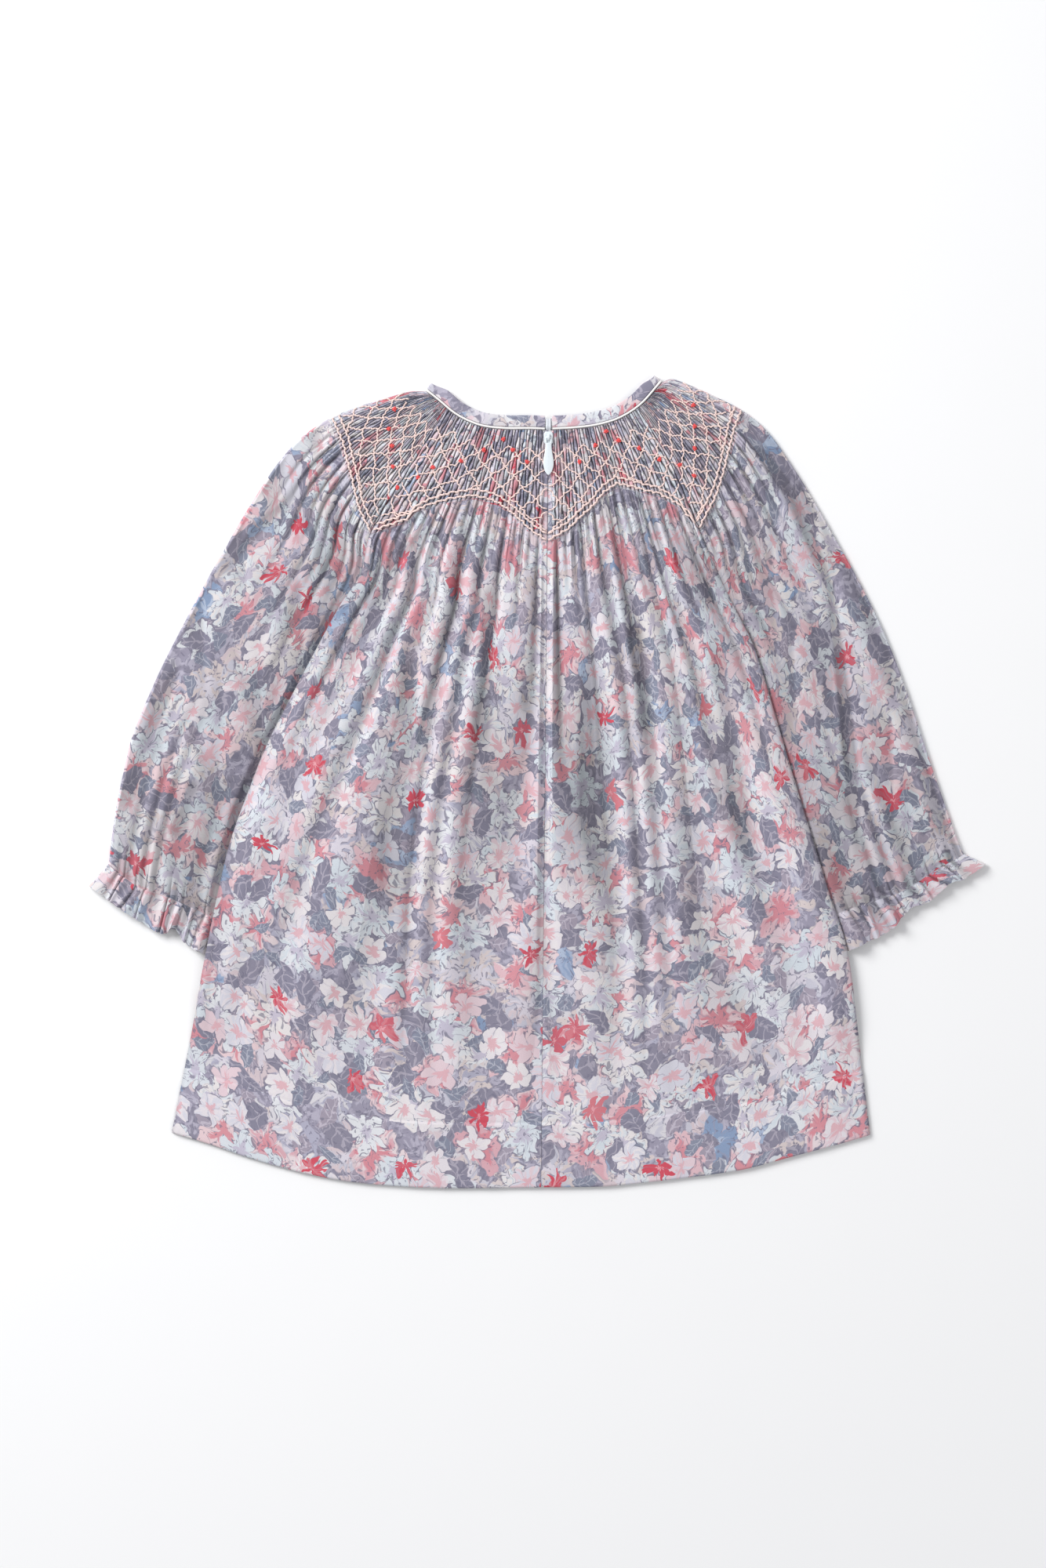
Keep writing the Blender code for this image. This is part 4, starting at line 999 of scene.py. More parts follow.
    @staticmethod
    def _tone(graph: Graph, pick: Socket, spread: float, tones: tuple[Rgb, ...]) -> Socket:
        """Choose one of the tones at random from place to place."""
        ramp = graph.node("ValToRGB", {0: graph.math("FRACT", graph.times(pick, spread))})
        ramp.color_ramp.interpolation = "CONSTANT"
        elements = ramp.color_ramp.elements
        elements[0].color = linear(*tones[0])
        elements[1].position = 1.0 / len(tones)
        elements[1].color = linear(*tones[1])
        for number, tone in enumerate(tones[2:], start=2):
            elements.new(number / len(tones)).color = linear(*tone)
        return ramp.outputs[0]

    def _bloom(self, graph: Graph, group: Tree, point: Socket, below: Socket, layer: MotifLayer) -> Socket:
        """Lay one layer of flowers over a colour.

        Args:
            graph: the print's graph.
            group: the group that draws the motifs.
            point: the cloth coordinates.
            below: the colour so far.
            layer: the layer to add.

        Returns:
            The new colour.
        """
        shape = dict(zip(("Petals", "Notch", "Uneven", "Squash"), layer.motif.value))
        drawn = graph.group(group, Vector=point, Cell=layer.cell, Reach=layer.reach, Seed=layer.seed, **shape)
        pick, streak, shade = drawn["Pick"], drawn["Streak"], drawn["Shade"]
        washed = graph.step(streak, 0.44, 0.58)
        first, second = (self._tone(graph, pick, spread, layer.tones) for spread in (7.31, 11.93))
        petal = graph.mix(washed, first, second)
        faded = graph.times(shade, 0.62 / layer.reach_of_heart)
        warm = graph.step(graph.minus(streak, faded), -0.02, 0.10)
        petal = graph.mix(graph.times(warm, 0.85), petal, linear(*layer.heart))
        crease = graph.times(graph.step(drawn["Petal"], 0.40, 0.16), graph.step(shade, 0.2, 0.55))
        petal = graph.mix(graph.times(crease, 0.5), petal, linear(*self.mist))
        shown = graph.math("LESS_THAN", pick, layer.share)
        pen = graph.times(drawn["Rim"], graph.times(shown, layer.pen))
        outlined = graph.mix(graph.times(pen, graph.step(streak, 0.56, 0.44)), below, linear(*self.ink))
        return graph.mix(graph.times(drawn["Mask"], shown), outlined, petal)

    def _pen(self, graph: Graph, point: Socket, below: Socket) -> Socket:
        """Draw loose pen strokes and small brush marks over a colour and return the result."""
        level = graph.noise(point, 0.17)
        line = graph.step(graph.math("ABSOLUTE", graph.minus(level, 0.5)), 0.014, 0.006)
        broken = graph.step(graph.noise(point, 0.26, 1.0), 0.50, 0.56)
        marks = graph.step(graph.noise(point, 0.62, 1.0), 0.655, 0.69)
        drawn = graph.math("MAXIMUM", graph.times(line, broken), graph.times(marks, 0.8))
        return graph.mix(graph.times(drawn, 0.85), below, linear(*self.ink))


def weave_group() -> Tree:
    """Build the group that gives the fine unevenness of woven thread.

    Returns:
        A group from cloth coordinates to a height and a tone.
    """
    graph, given, result = new_group("woven_thread", {"Pitch": 0.45}, {"Height": "value", "Tone": "value"})
    turns = graph.math("DIVIDE", FULL_TURN, given.outputs["Pitch"])
    warp, weft = (
        graph.math("SINE", graph.times(part, turns)) for part in graph.split(given.outputs["Vector"])
    )
    slub = graph.noise(given.outputs["Vector"], 1.6, 3.0)
    height = graph.linear(graph.times(warp, weft), 0.25, slub)
    graph.fill(result, {"Height": height, "Tone": graph.linear(slub, 0.16, 0.92)})
    return graph.tree


def new_material(name: str) -> tuple[Material, Graph, Node]:
    """Start a material and return it with its graph and its shader."""
    material = bpy.data.materials.new(name)
    material.use_nodes = True
    return material, Graph(material.node_tree), material.node_tree.nodes["Principled BSDF"]


@dataclass(frozen=True)
class PrintedCotton:
    """Soft printed cotton, darkened by painted shade in its folds and pleats."""

    roughness: float = 0.82
    sheen: float = 0.12
    bump: float = 0.16
    bump_distance: float = 0.0002
    hollow_shade: float = 0.80

    def material(self, name: str, offset: Point, weave: Tree, printed: Tree) -> Material:
        """Build the material.

        Args:
            name: the material's name.
            offset: moves the print for this piece, in millimetres.
            weave: the woven thread group.
            printed: the floral print group.

        Returns:
            The material.
        """
        material, graph, shader = new_material(name)
        place = graph.scale(graph.node("UVMap", uv_map="cloth").outputs[0], 1.0 / MILLIMETRE)
        moved = graph.vector("ADD", place, (*offset, 0.0))
        thread = graph.group(weave, Vector=moved)
        # Painted shade: the printed colour is darkened by the shade stored on each corner, times the thread's random
        # tone.
        shade_mark = graph.node("Attribute", attribute_name="painted_shade").outputs["Fac"]
        tone = graph.times(graph.linear(shade_mark, -self.hollow_shade, 1.0), thread["Tone"])
        graph.fill(shader, {
            "Base Color": graph.tint(tone, graph.group(printed, Vector=moved)[0]),
            "Normal": graph.bump(self.bump, self.bump_distance, thread["Height"]),
            "Roughness": self.roughness,
            "Sheen Weight": self.sheen,
            "Sheen Roughness": 0.5,
            "Specular IOR Level": 0.2,
        })
        return material


@dataclass(frozen=True)
class PlainFinish:
    """A finish of one colour with a fine grain.

    Attributes:
        name: the material's name.
        colour: the screen colour.
        roughness: how matt it is.
        grain: the size of the grain in millimetres.
        relief: the strength of the grain's bump.
        uneven: how much the tone changes over the surface.
        coat: the clear coat over it.
    """

    name: str
    colour: Rgb
    roughness: float
    grain: float
    relief: float
    uneven: float
    coat: float = 0.0

    def material(self) -> Material:
        """Build the material and return it."""
        material, graph, shader = new_material(self.name)
        place = graph.node("TexCoord").outputs["Object"]
        grain = {"Vector": place, "Scale": 1.0 / MILLIMETRE / self.grain, "Detail": 3.0}
        noise = graph.node("TexNoise", grain).outputs[0]
        tone = graph.linear(noise, self.uneven, 1.0 - self.uneven / 2)
        graph.fill(shader, {
            "Base Color": graph.tint(tone, linear(*self.colour)),
            "Normal": graph.bump(self.relief, 0.0001, noise),
            "Roughness": self.roughness,
            "Coat Weight": self.coat,
        })
        return material


class Wardrobe:
    """The finishes that the pieces are dressed in."""

    def __init__(self) -> None:
        """Build the shared groups and the plain finishes."""
        self.weave = weave_group()
        self.printed = FloralPrint().group()
        self.cotton = PrintedCotton()
        self.thread = PlainFinish("smocking_thread", (239, 214, 207), 0.6, 0.5, 0.4, 0.12).material()
        self.floweret = PlainFinish("floweret_thread", (232, 84, 84), 0.55, 0.5, 0.4, 0.2).material()
        self.sewing = PlainFinish("sewing_thread", (206, 208, 220), 0.6, 0.4, 0.3, 0.1).material()
        self.piping = PlainFinish("white_piping", (243, 240, 238), 0.75, 0.6, 0.4, 0.06).material()
        self.tape = PlainFinish("white_tape", (222, 226, 232), 0.8, 0.5, 0.5, 0.1).material()
        self.enamel = PlainFinish("white_enamel", (226, 234, 238), 0.22, 2.0, 0.02, 0.03, coat=0.6).material()
        self.floor = PlainFinish("pale_floor", (246, 246, 246), 0.9, 40.0, 0.0, 0.01).material()

    def dress(self, made: Object, node: str, painted_shade: Array, offset: Point) -> None:
        """Dress a piece of cloth and settle it.

        Args:
            made: the piece.
            node: the CAD node that it replaces.
            painted_shade: how much painted shade each corner gets, from 0 to 1.
            offset: moves the print for this piece, in millimetres.
        """
        # Painted shade is stored on each corner for the cotton to darken its colour by.
        shade_mark = made.data.attributes.new("painted_shade", "FLOAT", "POINT")
        shade_mark.data.foreach_set("value", np.clip(painted_shade, 0.0, 1.0).astype(np.float32).ravel())
        name = "cotton_" + node.removeprefix("neck_")
        settle(made, node, MAIN_BODY, self.cotton.material(name, offset, self.weave, self.printed))


def settle(made: Object, node: str | None, body: str, material: Material) -> None:
    """Give a piece its finish and its body, and hide the CAD node that it replaces.

    Args:
        made: the piece.
        node: the CAD node that it replaces, or None.
        body: the body that it rides on.
        material: its finish.
    """
    made.data.materials.append(material)
    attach(made, body)
    if node:
        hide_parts(node)
    LOG.info("%s: %d faces", made.name, len(made.data.polygons))


@dataclass(frozen=True)
class Pleating:
    """How a piece is pleated and stitched.

    Attributes:
        cut: the width of its cut cloth in millimetres.
        pleats: how many pleats the smocking draws it into.
        crest: their height in millimetres.
        cell_length: the height of a diamond of stitches in millimetres.
        first_row: how far below the neck the stitches start, in millimetres.
        released: the pleats' height just below the smocking, in millimetres.
        longest: how far down the longest pleat runs on, as a share.
        bends: how fast three unevennesses of the pleats change across the piece.
        seed: picks which pleats are tall.
        cell_pleats: the width of a diamond in pleats.
    """

    cut: float
    pleats: int
    crest: float
    cell_length: float
    first_row: float
    released: float
    longest: float
    bends: tuple[float, float, float]
    seed: float
    cell_pleats: float = 6.0


BACK_PLEATING = Pleating(212.0, 36, 1.75, 12.5, 9.0, 1.4, 0.10, (61.0, 143.0, 113.0), 0.0)
SLEEVE_PLEATING = Pleating(105.0, 30, 1.7, 12.0, 12.0, 1.3, 0.12, (47.0, 119.0, 97.0), 2.0)


@dataclass
class Spot:
    """Where on a smocked piece its surface is read.

    Attributes:
        across: shares across the piece.
        x, y: plan positions in millimetres.
        width: the piece's width there in millimetres.
        length: the distance from the neck in millimetres.
        below: the distance below the smocking in millimetres.
        fall: the same as a share of all that lies below the smocking.
        smocked: whether the place is in the smocking.
    """

    across: Array
    x: Array
    y: Array
    width: Array
    length: Array
    below: Array
    fall: Array
    smocked: Array


@dataclass
class Pleats:
    """The pleats and gathers of a smocked piece.

    Attributes:
        number: which pleat a place is in.
        relief: the pleats' height in millimetres.
        troughs: the depth of the gathers below them in millimetres.
        painted_dark: the painted shade of both, from 0 to 1.
        cloth: positions across the cut cloth in millimetres.
    """

    number: Array
    relief: Array
    troughs: Array
    painted_dark: Array
    cloth: Array


@dataclass
class SmockedPiece:
    """A piece of cloth that is smocked at the neck and gathered below it.

    Attributes:
        lines: the seam lines of its half of the dress.
        gathers: the narrow troughs below the smocking.
        folds: its listed creases.
        kind: the first word of its node's name.
        pleating: how it is pleated and stitched.
    """

    lines: HalfLines
    gathers: tuple[Gather, ...]
    folds: tuple[Fold, ...]
    kind: str = "back"
    pleating: Pleating = BACK_PLEATING

    @property
    def node(self) -> str:
        """Return the CAD node's name."""
        return f"{self.kind}_{self.lines.side.half.name.lower()}"

    def _measure(self, patch: Patch, length: float, border: tuple[Point, ...]) -> None:
        """Keep the patch, the length that depths are shares of, and the smocking's lower edge."""
        self.patch, self.length, self.border = patch, length, border

    def limit(self, across: Array) -> Array:
        """Return the share down at which the smocking ends."""
        return table(self.border, across)

    def _spot(self, across: Array, down: Array) -> Spot:
        """Return where shares across and down the piece lie."""
        x, y = self.patch.at(across, down)
        limit = self.limit(across)
        below = (down - limit) * self.length
        fall = np.clip((down - limit) / (1.0 - limit), 0.0, 1.0)
        return Spot(across, x, y, self.patch.width(down), down * self.length, below, fall, below <= 0.0)

    def _gathered(self, at: Spot) -> tuple[Array, Array, Array]:
        """Return the depth of the troughs below the smocking, their shade and the cloth they hide.

        Args:
            at: where to read them.

        Returns:
            The depth in millimetres, the shade from 0 to 1, and the hidden cloth as a share of the spare.
        """
        depth, shade, hidden = np.zeros((3, *np.shape(at.across)))
        for gather in self.gathers:
            along = np.clip(at.below / gather.length, 0.0, 1.0)
            gap = (at.across - gather.across - gather.lean * along) * at.width
            hidden += gather.depth * (0.5 + 0.5 * np.tanh(gap / (gather.width * (0.45 + 6.0 * along * along))))
            spread = gather.width * (0.6 + 1.5 * along)
            fade = (1.0 - along) ** 0.7 * smooth(-1.0, 6.0, at.below)
            depth += 1.6 * gather.depth * np.exp(-((gap / spread) ** 2)) * fade
            # Painted shade: each trough's bottom is darkened, set a little off its middle.
            narrow = np.exp(-(((gap - 0.15 * spread) / (0.45 * spread + 0.3)) ** 2))
            shade = np.maximum(shade, narrow * fade)
        return depth, shade, hidden / sum(gather.depth for gather in self.gathers)

    def _pleats(self, at: Spot, free: Array, loose: Array) -> Pleats:
        """Return the smocked pleats and the gathers that they open into.

        Args:
            at: where to read them.
            free: 0 where a seam or fold holds the cloth flat, and 1 away from it.
            loose: the same for the painted shade of the pleats darkened as if sunk inside the smocking.

        Returns:
            The pleats.
        """
        made = self.pleating
        eye = diamonds(at.across * made.pleats, at.length - made.first_row, made.cell_pleats, made.cell_length)
        worked = smooth(made.first_row - 6.0, made.first_row, at.length)
        eye = 1.0 - worked + worked * eye
        slow, fast, tight = (at.across * bend for bend in made.bends)
        jitter = 0.16 * np.sin(slow + at.length * 0.05) + 0.08 * np.sin(fast - at.length * 0.11)
        jitter = jitter + 0.20 * np.sin(tight + at.length * 0.46) * smooth(10.0, -4.0, at.below)
        phase = at.across * made.pleats + jitter * (0.7 + 0.3 * smooth(-2.0, 18.0, at.below))
        profile = pleat_profile(phase)
        number = np.floor(phase)
        tall = waver(number + made.seed)
        in_smock = made.crest * (0.62 + 0.38 * eye) * (0.9 + 0.1 * tall)
        fade = 0.03 + made.longest * tall**3
        released = made.released * (0.1 + 0.9 * tall**1.5) * smooth(fade, 0.15 * fade, at.fall)
        rise = np.where(at.smocked, in_smock, released) * free
        troughs, shade, hidden = self._gathered(at)

        # Painted shade: a pleat is darkened in its valley, some pleats of the smocking are darkened as if sunk behind
        # the rest, and the troughs below are darkened too.
        painted_dark = smooth(np.where(at.smocked, 0.88, 0.50), 0.3, profile) * np.clip(rise / 1.2, 0.0, 1.0) ** 0.7
        sunk_shade = smooth(0.62, 0.95, waver(number + made.seed + 3.0 + np.floor(at.length / 11.0)))
        painted_dark = np.maximum(np.where(at.smocked, 1.0, 0.6) * painted_dark, 0.4 * sunk_shade * np.where(at.smocked, loose, 0.0))
        painted_dark = painted_dark * (0.6 + 0.4 * smooth(0.5, 2.0, at.width / made.pleats))
        painted_dark = np.maximum(painted_dark, 0.9 * shade * free)

        # The print runs on over each pleat, and most of the spare cloth is out of sight in the valleys.
        step = made.cut / made.pleats
        pleated = (number + 0.5) * step + (phase - number - 0.5) * np.minimum(at.width / made.pleats * 1.3, step)
        spare = made.cut * (1.0 - SHOWING_SHARE) * smooth(300.0, 0.0, at.below)
        cloth = np.where(at.smocked, pleated, at.across * at.width + spare * hidden)
        return Pleats(number, rise * profile, troughs * free, painted_dark, cloth)

    def _make(self, shell: Surface, lengths: Array, wardrobe: Wardrobe, offset: Point) -> Object:
        """Make the piece and dress it.

        Args:
            shell: its surface over a grid.
            lengths: how far down the cut cloth each corner lies, in millimetres.
            wardrobe: the finishes.
            offset: moves the print, in millimetres.

        Returns:
            The piece.
        """
        faces = grid_faces(*shell.x.shape, turned=self.lines.sign > 0)
        made = mesh_object("cloth_" + self.node, shell.corners, faces, shell.cut(self.lines.sign, lengths))
        wardrobe.dress(made, self.node, shell.painted_shade, offset)
        return made


@dataclass
class BackPanel(SmockedPiece):
    """One half of the back: smocked at the neck, gathered below and hemmed."""

    layer: float = 1.6
    smock_rows: int = 100
    skirt_rows: int = 118
    columns: int = 390
    hem_depth: float = 36.0
    roll: float = 1.3

    def __post_init__(self) -> None:
        """Measure the panel."""
        self._measure(self.lines.back, self.lines.body.length, self.lines.side.back_smocking)

    def surface(self, across: Array, down: Array) -> Surface:
        """Return the cloth's surface at shares across and down.

        Args:
            across: shares from the zip to the outer edge.
            down: shares from the neck to the hem.

        Returns:
            The surface there.
        """
        at = self._spot(across, down)
        fall = at.fall
        from_zip = across * at.width
        from_edge = (1.0 - across) * at.width
        free = smooth(1.6, 3.8, from_zip)
        made = self._pleats(at, free, free)

        # What lies under the panel: the front, the sleeve at its outer edge and the zip's tape.
        ground = self.layer + self._side_lift(at.length) * smooth(27.0, 12.0, from_edge)
        ground = ground + smooth(8.0, 3.6, from_zip) * smooth(26.0, 38.0, at.y)

        # Broad soft folds, then the listed creases, a slight fullness and an unevenness.
        phase = across * 6.5 + 0.4 * np.sin(at.length * 0.010 + across * 9.0) + 0.25 * np.sin(across * 17.0)
        broad = (0.5 - 0.5 * np.cos(2.0 * np.pi * phase)) ** 0.8
        size = 0.3 + 0.7 * waver(np.floor(phase) + 5.0)
        coarse = 3.4 * broad * size * smooth(0.0, 0.10, fall) * smooth(1.02, 0.45, fall)
        calm = smooth(0.0, 9.0, from_edge) * free * smooth(0.93, 0.72, fall)
        body = 0.9 * smooth(0.0, 0.15, fall) * smooth(1.0, 0.4, fall)
        folds = relief(at.x, at.y, self.folds)
        skirt = (body + folds + 0.3 * drift(at.x, at.y, 26.0, 1.3)) * calm + coarse * (0.2 + 0.8 * calm)
        skirt = skirt + 0.16 * drift(at.x, at.y, 15.0, 4.7) * smooth(0.0, 6.0, from_edge)
        skirt = skirt - made.troughs * smooth(0.0, 5.0, from_edge)
        z = ground + 1.25 + made.relief + np.where(at.smocked, 0.0, skirt)

        # The hem's second layer, the groove of its stitches and the rims that roll down.
        hem = (1.0 - down) * self.patch.near.length
        z = z + 0.3 * smooth(self.hem_depth + 0.7, self.hem_depth - 0.7, hem)
        z = z - 0.35 * np.exp(-(((hem - self.hem_depth - 0.2) / 0.6) ** 2))
        z = np.maximum(z, ground + LOWEST_CLOTH)
        raglan = smooth(84.0, 70.0, at.length)
        z = z - self._rolled(from_zip, 0.5) * 0.3 - self._rolled(hem, self.roll)
        z = z - raglan * self._rolled(from_edge, 0.5) * 0.4
        z = z - (1.0 - raglan) * (0.6 * self._rolled(from_edge, 3.4) + 0.4 * self._rolled(from_edge, 0.8))
        z = np.maximum(z, LOWEST_CLOTH)

        # Painted shade: darker in the creases' troughs and the broad folds' hollows, along the gap of the centre back
        # seam (most near the zip), and on the outer edge's roll so that its lit face is not bright.
        painted_dark = np.maximum(made.painted_dark, np.clip(-folds * calm / 1.5, 0.0, 0.5))
        low = (1.0 - broad) ** 1.5 * size * smooth(0.0, 0.08, fall) * smooth(1.02, 0.5, fall)
        painted_dark = painted_dark + 0.55 * low * (1.0 - painted_dark)
        seam = (0.10 + 0.5 * smooth(120.0, 20.0, at.length)) * np.exp(-((from_zip / 0.4) ** 2))
        rim = 0.32 * (1.0 - raglan) * smooth(2.6, 0.4, from_edge)
        painted_shade = np.maximum(np.maximum(painted_dark, seam), rim)
        slip = np.where(at.smocked, PRINT_SLIP * waver(made.number + 1.0), 0.0)
        return Surface(at.x, at.y, z, painted_shade, made.cloth, slip)

    @staticmethod
    def _rolled(distance: Array, radius: float) -> Array:
        """Return how far an edge turns down at this distance from it."""
        share = np.clip(1.0 - distance / radius, 0.0, 1.0)
        return radius * (1.0 - np.sqrt(np.maximum(0.0, 1.0 - share * share)))

    @staticmethod
    def _side_lift(length: Array) -> Array:
        """Return how far the outer edge is raised over the sleeve and the front."""
        over_sleeve = 1.5 * smooth(68.0, 82.0, length)
        over_front = 1.65 * smooth(116.0, 134.0, length)
        return (over_sleeve + over_front) * smooth(394.0, 356.0, length)

    def _grid(self) -> tuple[Array, Array]:
        """Return the shares across and down of the shell's corners, closer together at the rims."""
        rim = np.array([1.3, 0.9, 0.55, 0.25, 0.08, 0.0])
        start = np.array([0.0, 0.25, 0.5, 0.8]) / float(self.patch.width(0.0))
        middle = np.linspace(0.02, 0.985, self.columns)
        across = np.concatenate([start, middle, 1.0 - rim / 160.0])[None, :]
        limit = self.limit(across)
        smocked = np.linspace(0.0, 1.0, self.smock_rows)[:, None] * limit
        falls = np.linspace(0.0, 1.0, self.skirt_rows + 1)[1:-1] ** 1.15
        hem_share = 1.0 - self.hem_depth / self.patch.near.length
        hem_rows = (hem_share + np.array([-0.003, -0.0012, 0.0, 0.0012, 0.003]) - 0.15) / 0.85
        last = 1.0 - rim / 370.0
        falls = np.sort(np.concatenate([falls[falls < last[0] - 0.002], hem_rows, last]))[:, None]
        blend = 0.15 + (limit - 0.15) * smooth(0.9, 0.4, falls)
        down = np.vstack([smocked, blend + (1.0 - blend) * falls])
        return np.broadcast_to(across, down.shape), down

    def build(self, wardrobe: Wardrobe) -> None:
        """Make the shell and dress it.

        Args:
            wardrobe: the finishes.
        """
        across, down = self._grid()
        made = self._make(self.surface(across, down), down * self.length, wardrobe, (0.0, 40.0))


@dataclass
class Sleeve(SmockedPiece):
    """One sleeve as a flattened tube, with its elastic cuff and its frill."""

    kind: str = "sleeve"
    pleating: Pleating = SLEEVE_PLEATING
    waves: int = 12
    bottom: float = 0.3
    frill_cut: float = 20.0
    columns: int = 290
    smock_rows: int = 84
    arm_rows: int = 130
    frill_rows: int = 30

    def __post_init__(self) -> None:
        """Measure the sleeve above its elastic."""
        self._measure(self.lines.sleeve, self.lines.cuff_length, self.lines.side.sleeve_smocking)

    def surface(self, across: Array, down: Array) -> Surface:
        """Return the upper layer above the elastic at shares across and down.

        Args:
            across: shares from the inner line to the outer fold.
            down: shares from the neck to the elastic.

        Returns:
            The surface there.
        """
        at = self._spot(across, down)
        fall = at.fall
        clear = across * at.width - self.lines.tuck(at.length)
        from_fold = (1.0 - across) * at.width
        edge = smooth(0.4, 5.0, from_fold)
        joined = smooth(70.0, 82.0, at.length)
        raised = 1.0 - joined + joined * smooth(0.3, 4.6, clear)
        free = edge * raised
        made = self._pleats(at, free, edge)

        # The arm's fullness, its creases and the folds that the elastic draws in toward the cuff.
        dome = 2.6 * smooth(0.0, 0.2, fall) * smooth(1.0, 0.84, fall) * smooth(0.0, 14.0, from_fold)
        folds = relief(at.x, at.y, self.folds) * smooth(0.0, 0.08, fall) * smooth(1.0, 0.9, fall)
        swell = 0.8 * drift(at.x * 1.6, at.y * 0.5, 20.0, 2.9) * smooth(1.0, 0.9, fall)
        phase = across * 5.5 + 0.45 * np.sin(across * 11.0 + self.lines.sign) + 0.5 * (1.0 - fall)
        drawn = (0.5 - 0.5 * np.cos(2.0 * np.pi * phase)) ** 0.8
        drawn_in = smooth(0.50, 0.93, fall)
        arm = dome + folds + swell + 2.0 * drawn * drawn_in * smooth(1.0, 0.97, fall)
        arm = (arm + 0.8 * smooth(0.9, 1.0, fall)) * free - made.troughs
        waves = self._ruffle(across)
        ruffled = 1.3 * waves * smooth(0.90, 1.0, fall) ** 2.0
        pinch = 0.9 * np.exp(-(((1.0 - down) * self.length / 1.6) ** 2))
        z = 2.67 + 0.18 * raised + made.relief + np.where(at.smocked, 0.0, arm) + (ruffled - pinch) * free

        # Painted shade: the pleats' shade is lighter near the outer fold; the creases' troughs, the elastic's ruffle
        # valleys, the swell's low places, the gaps between the folds drawn in at the cuff and the cloth under the
        # body's edge are darkened; and the whole arm below the smocking is darkened a little more by the body and at
        # the outer fold.
        painted_dark = made.painted_dark * (0.25 + 0.75 * smooth(2.0, 14.0, from_fold))
        for shade_mark in (
            np.clip(-folds * raised / 1.4, 0.0, 0.55),
            0.6 * smooth(0.55, 0.1, waves) * smooth(0.92, 1.0, fall) * edge,
            np.clip(-swell * raised / 1.6, 0.0, 0.3),
            0.5 * (1.0 - drawn) ** 1.8 * drawn_in * free,
            0.3 * joined * smooth(2.4, 0.2, clear),
        ):
            painted_dark = np.maximum(painted_dark, shade_mark)
        turn_shade = 0.16 + 0.20 * np.exp(-((clear / 26.0) ** 2)) + 0.16 * np.exp(-((from_fold / 9.0) ** 2))
        turn_shade = turn_shade * smooth(-0.02, 0.12, fall)
        slip = np.where(at.smocked, PRINT_SLIP * waver(made.number + 4.0), 0.0)
        return Surface(at.x, at.y, np.maximum(z, 2.2), painted_dark + (1.0 - painted_dark) * turn_shade, made.cloth, slip)

    def _ruffle(self, across: Array) -> Array:
        """Return the small uneven pleats that the elastic makes, 0 in a valley and 1 on a crest."""
        phase = self.waves * (across + 0.022 * np.sin(across * 29.0) + 0.012 * np.sin(across * 67.0))
        return pleat_profile(phase, 0.9) * (0.7 + 0.3 * np.sin(across * 53.0))

    def frill_surface(self, across: Array, down: Array) -> Surface:
        """Return the upper layer of the frill at shares across and down.

        Args:
            across: shares from the inner line to the outer fold.
            down: shares from the elastic to the frill's edge.

        Returns:
            The surface there.
        """
        patch = self.lines.frill
        bent = np.clip(across + 0.010 * np.sin(across * 31.0 + 2.0 * down), 0.0, 1.0)
        waves = self._ruffle(across + 0.012 * down * np.sin(across * 23.0))
        shortened = down * (1.0 + 0.07 * (waves - 0.5) * smooth(0.0, 0.1, across) * smooth(1.0, 0.93, across))
        x, y = patch.at(bent, np.clip(shortened, 0.0, 1.05))
        width = patch.width(down)
        length = self.lines.cuff_length + down * (self.lines.frill_length - self.lines.cuff_length)
        clear = across * width - self.lines.tuck(length)
        edge = smooth(0.4, 5.0, (1.0 - across) * width)
        raised = smooth(0.3, 4.6, clear)
        swing = 3.4 * waves * (0.6 + 0.4 * np.sin(across * 19.0)) * smooth(0.0, 0.8, down)
        gathered = 1.5 * waves * (1.0 - 0.6 * down)
        pinch = 0.9 * np.exp(-((down * self.frill_cut / 1.6) ** 2))
        z = 2.67 + 0.18 * raised + (0.8 + swing + gathered - pinch) * raised * edge
        # Painted shade: darker in the ruffle's valleys, most near the elastic, and under the body's edge, with a
        # little over the whole frill.
        painted_dark = 0.75 * smooth(0.6, 0.1, waves) * (0.4 + 0.6 * smooth(0.8, 0.0, down)) * edge
        painted_dark = np.maximum(painted_dark, smooth(2.4, 0.2, clear) * 0.3)
        return Surface(x, y, z, painted_dark + (1.0 - painted_dark) * 0.10, self.pleating.cut * across + 0.0 * x, np.zeros_like(x))

    def _wrap(self, upper: Surface, patch: Patch, reach: float, down: Array) -> Surface:
        """Carry the upper layer round the outer fold and back along the lower layer.

        Args:
            upper: the upper layer, up to just inside the fold.
            patch: the patch that it lies in.
            reach: the share across at which it stops.
            down: the shares down.

        Returns:
            The two layers and the fold between them.
        """
        last = np.clip(down[:, -1:], 0.0, 1.0)
        top = upper.z[:, -1:]
        edge = upper.cloth[:, -1:]
        angles = np.linspace(0.0, np.pi, 9)[None, 1:-1] + 0.0 * last
        x, y = patch.at(reach + (1.0 - reach) * np.sin(angles), last + 0.0 * angles)
        z = 0.5 * (top + self.bottom) + 0.5 * (top - self.bottom) * np.cos(angles)
        blank = np.zeros_like(x)
        fold = Surface(x, y, z, blank, edge + 4.0 * angles / np.pi, blank)
        back = np.linspace(reach, 0.0, 26)[None, :] + 0.0 * last
        x, y = patch.at(back, last + 0.0 * back)
        blank = np.zeros_like(x)
        cloth = edge + 4.0 + self.pleating.cut * (reach - back)
        lower = Surface(x, y, np.full_like(x, self.bottom), blank, cloth, blank)
        return upper.joined(fold, axis=1).joined(lower, axis=1)

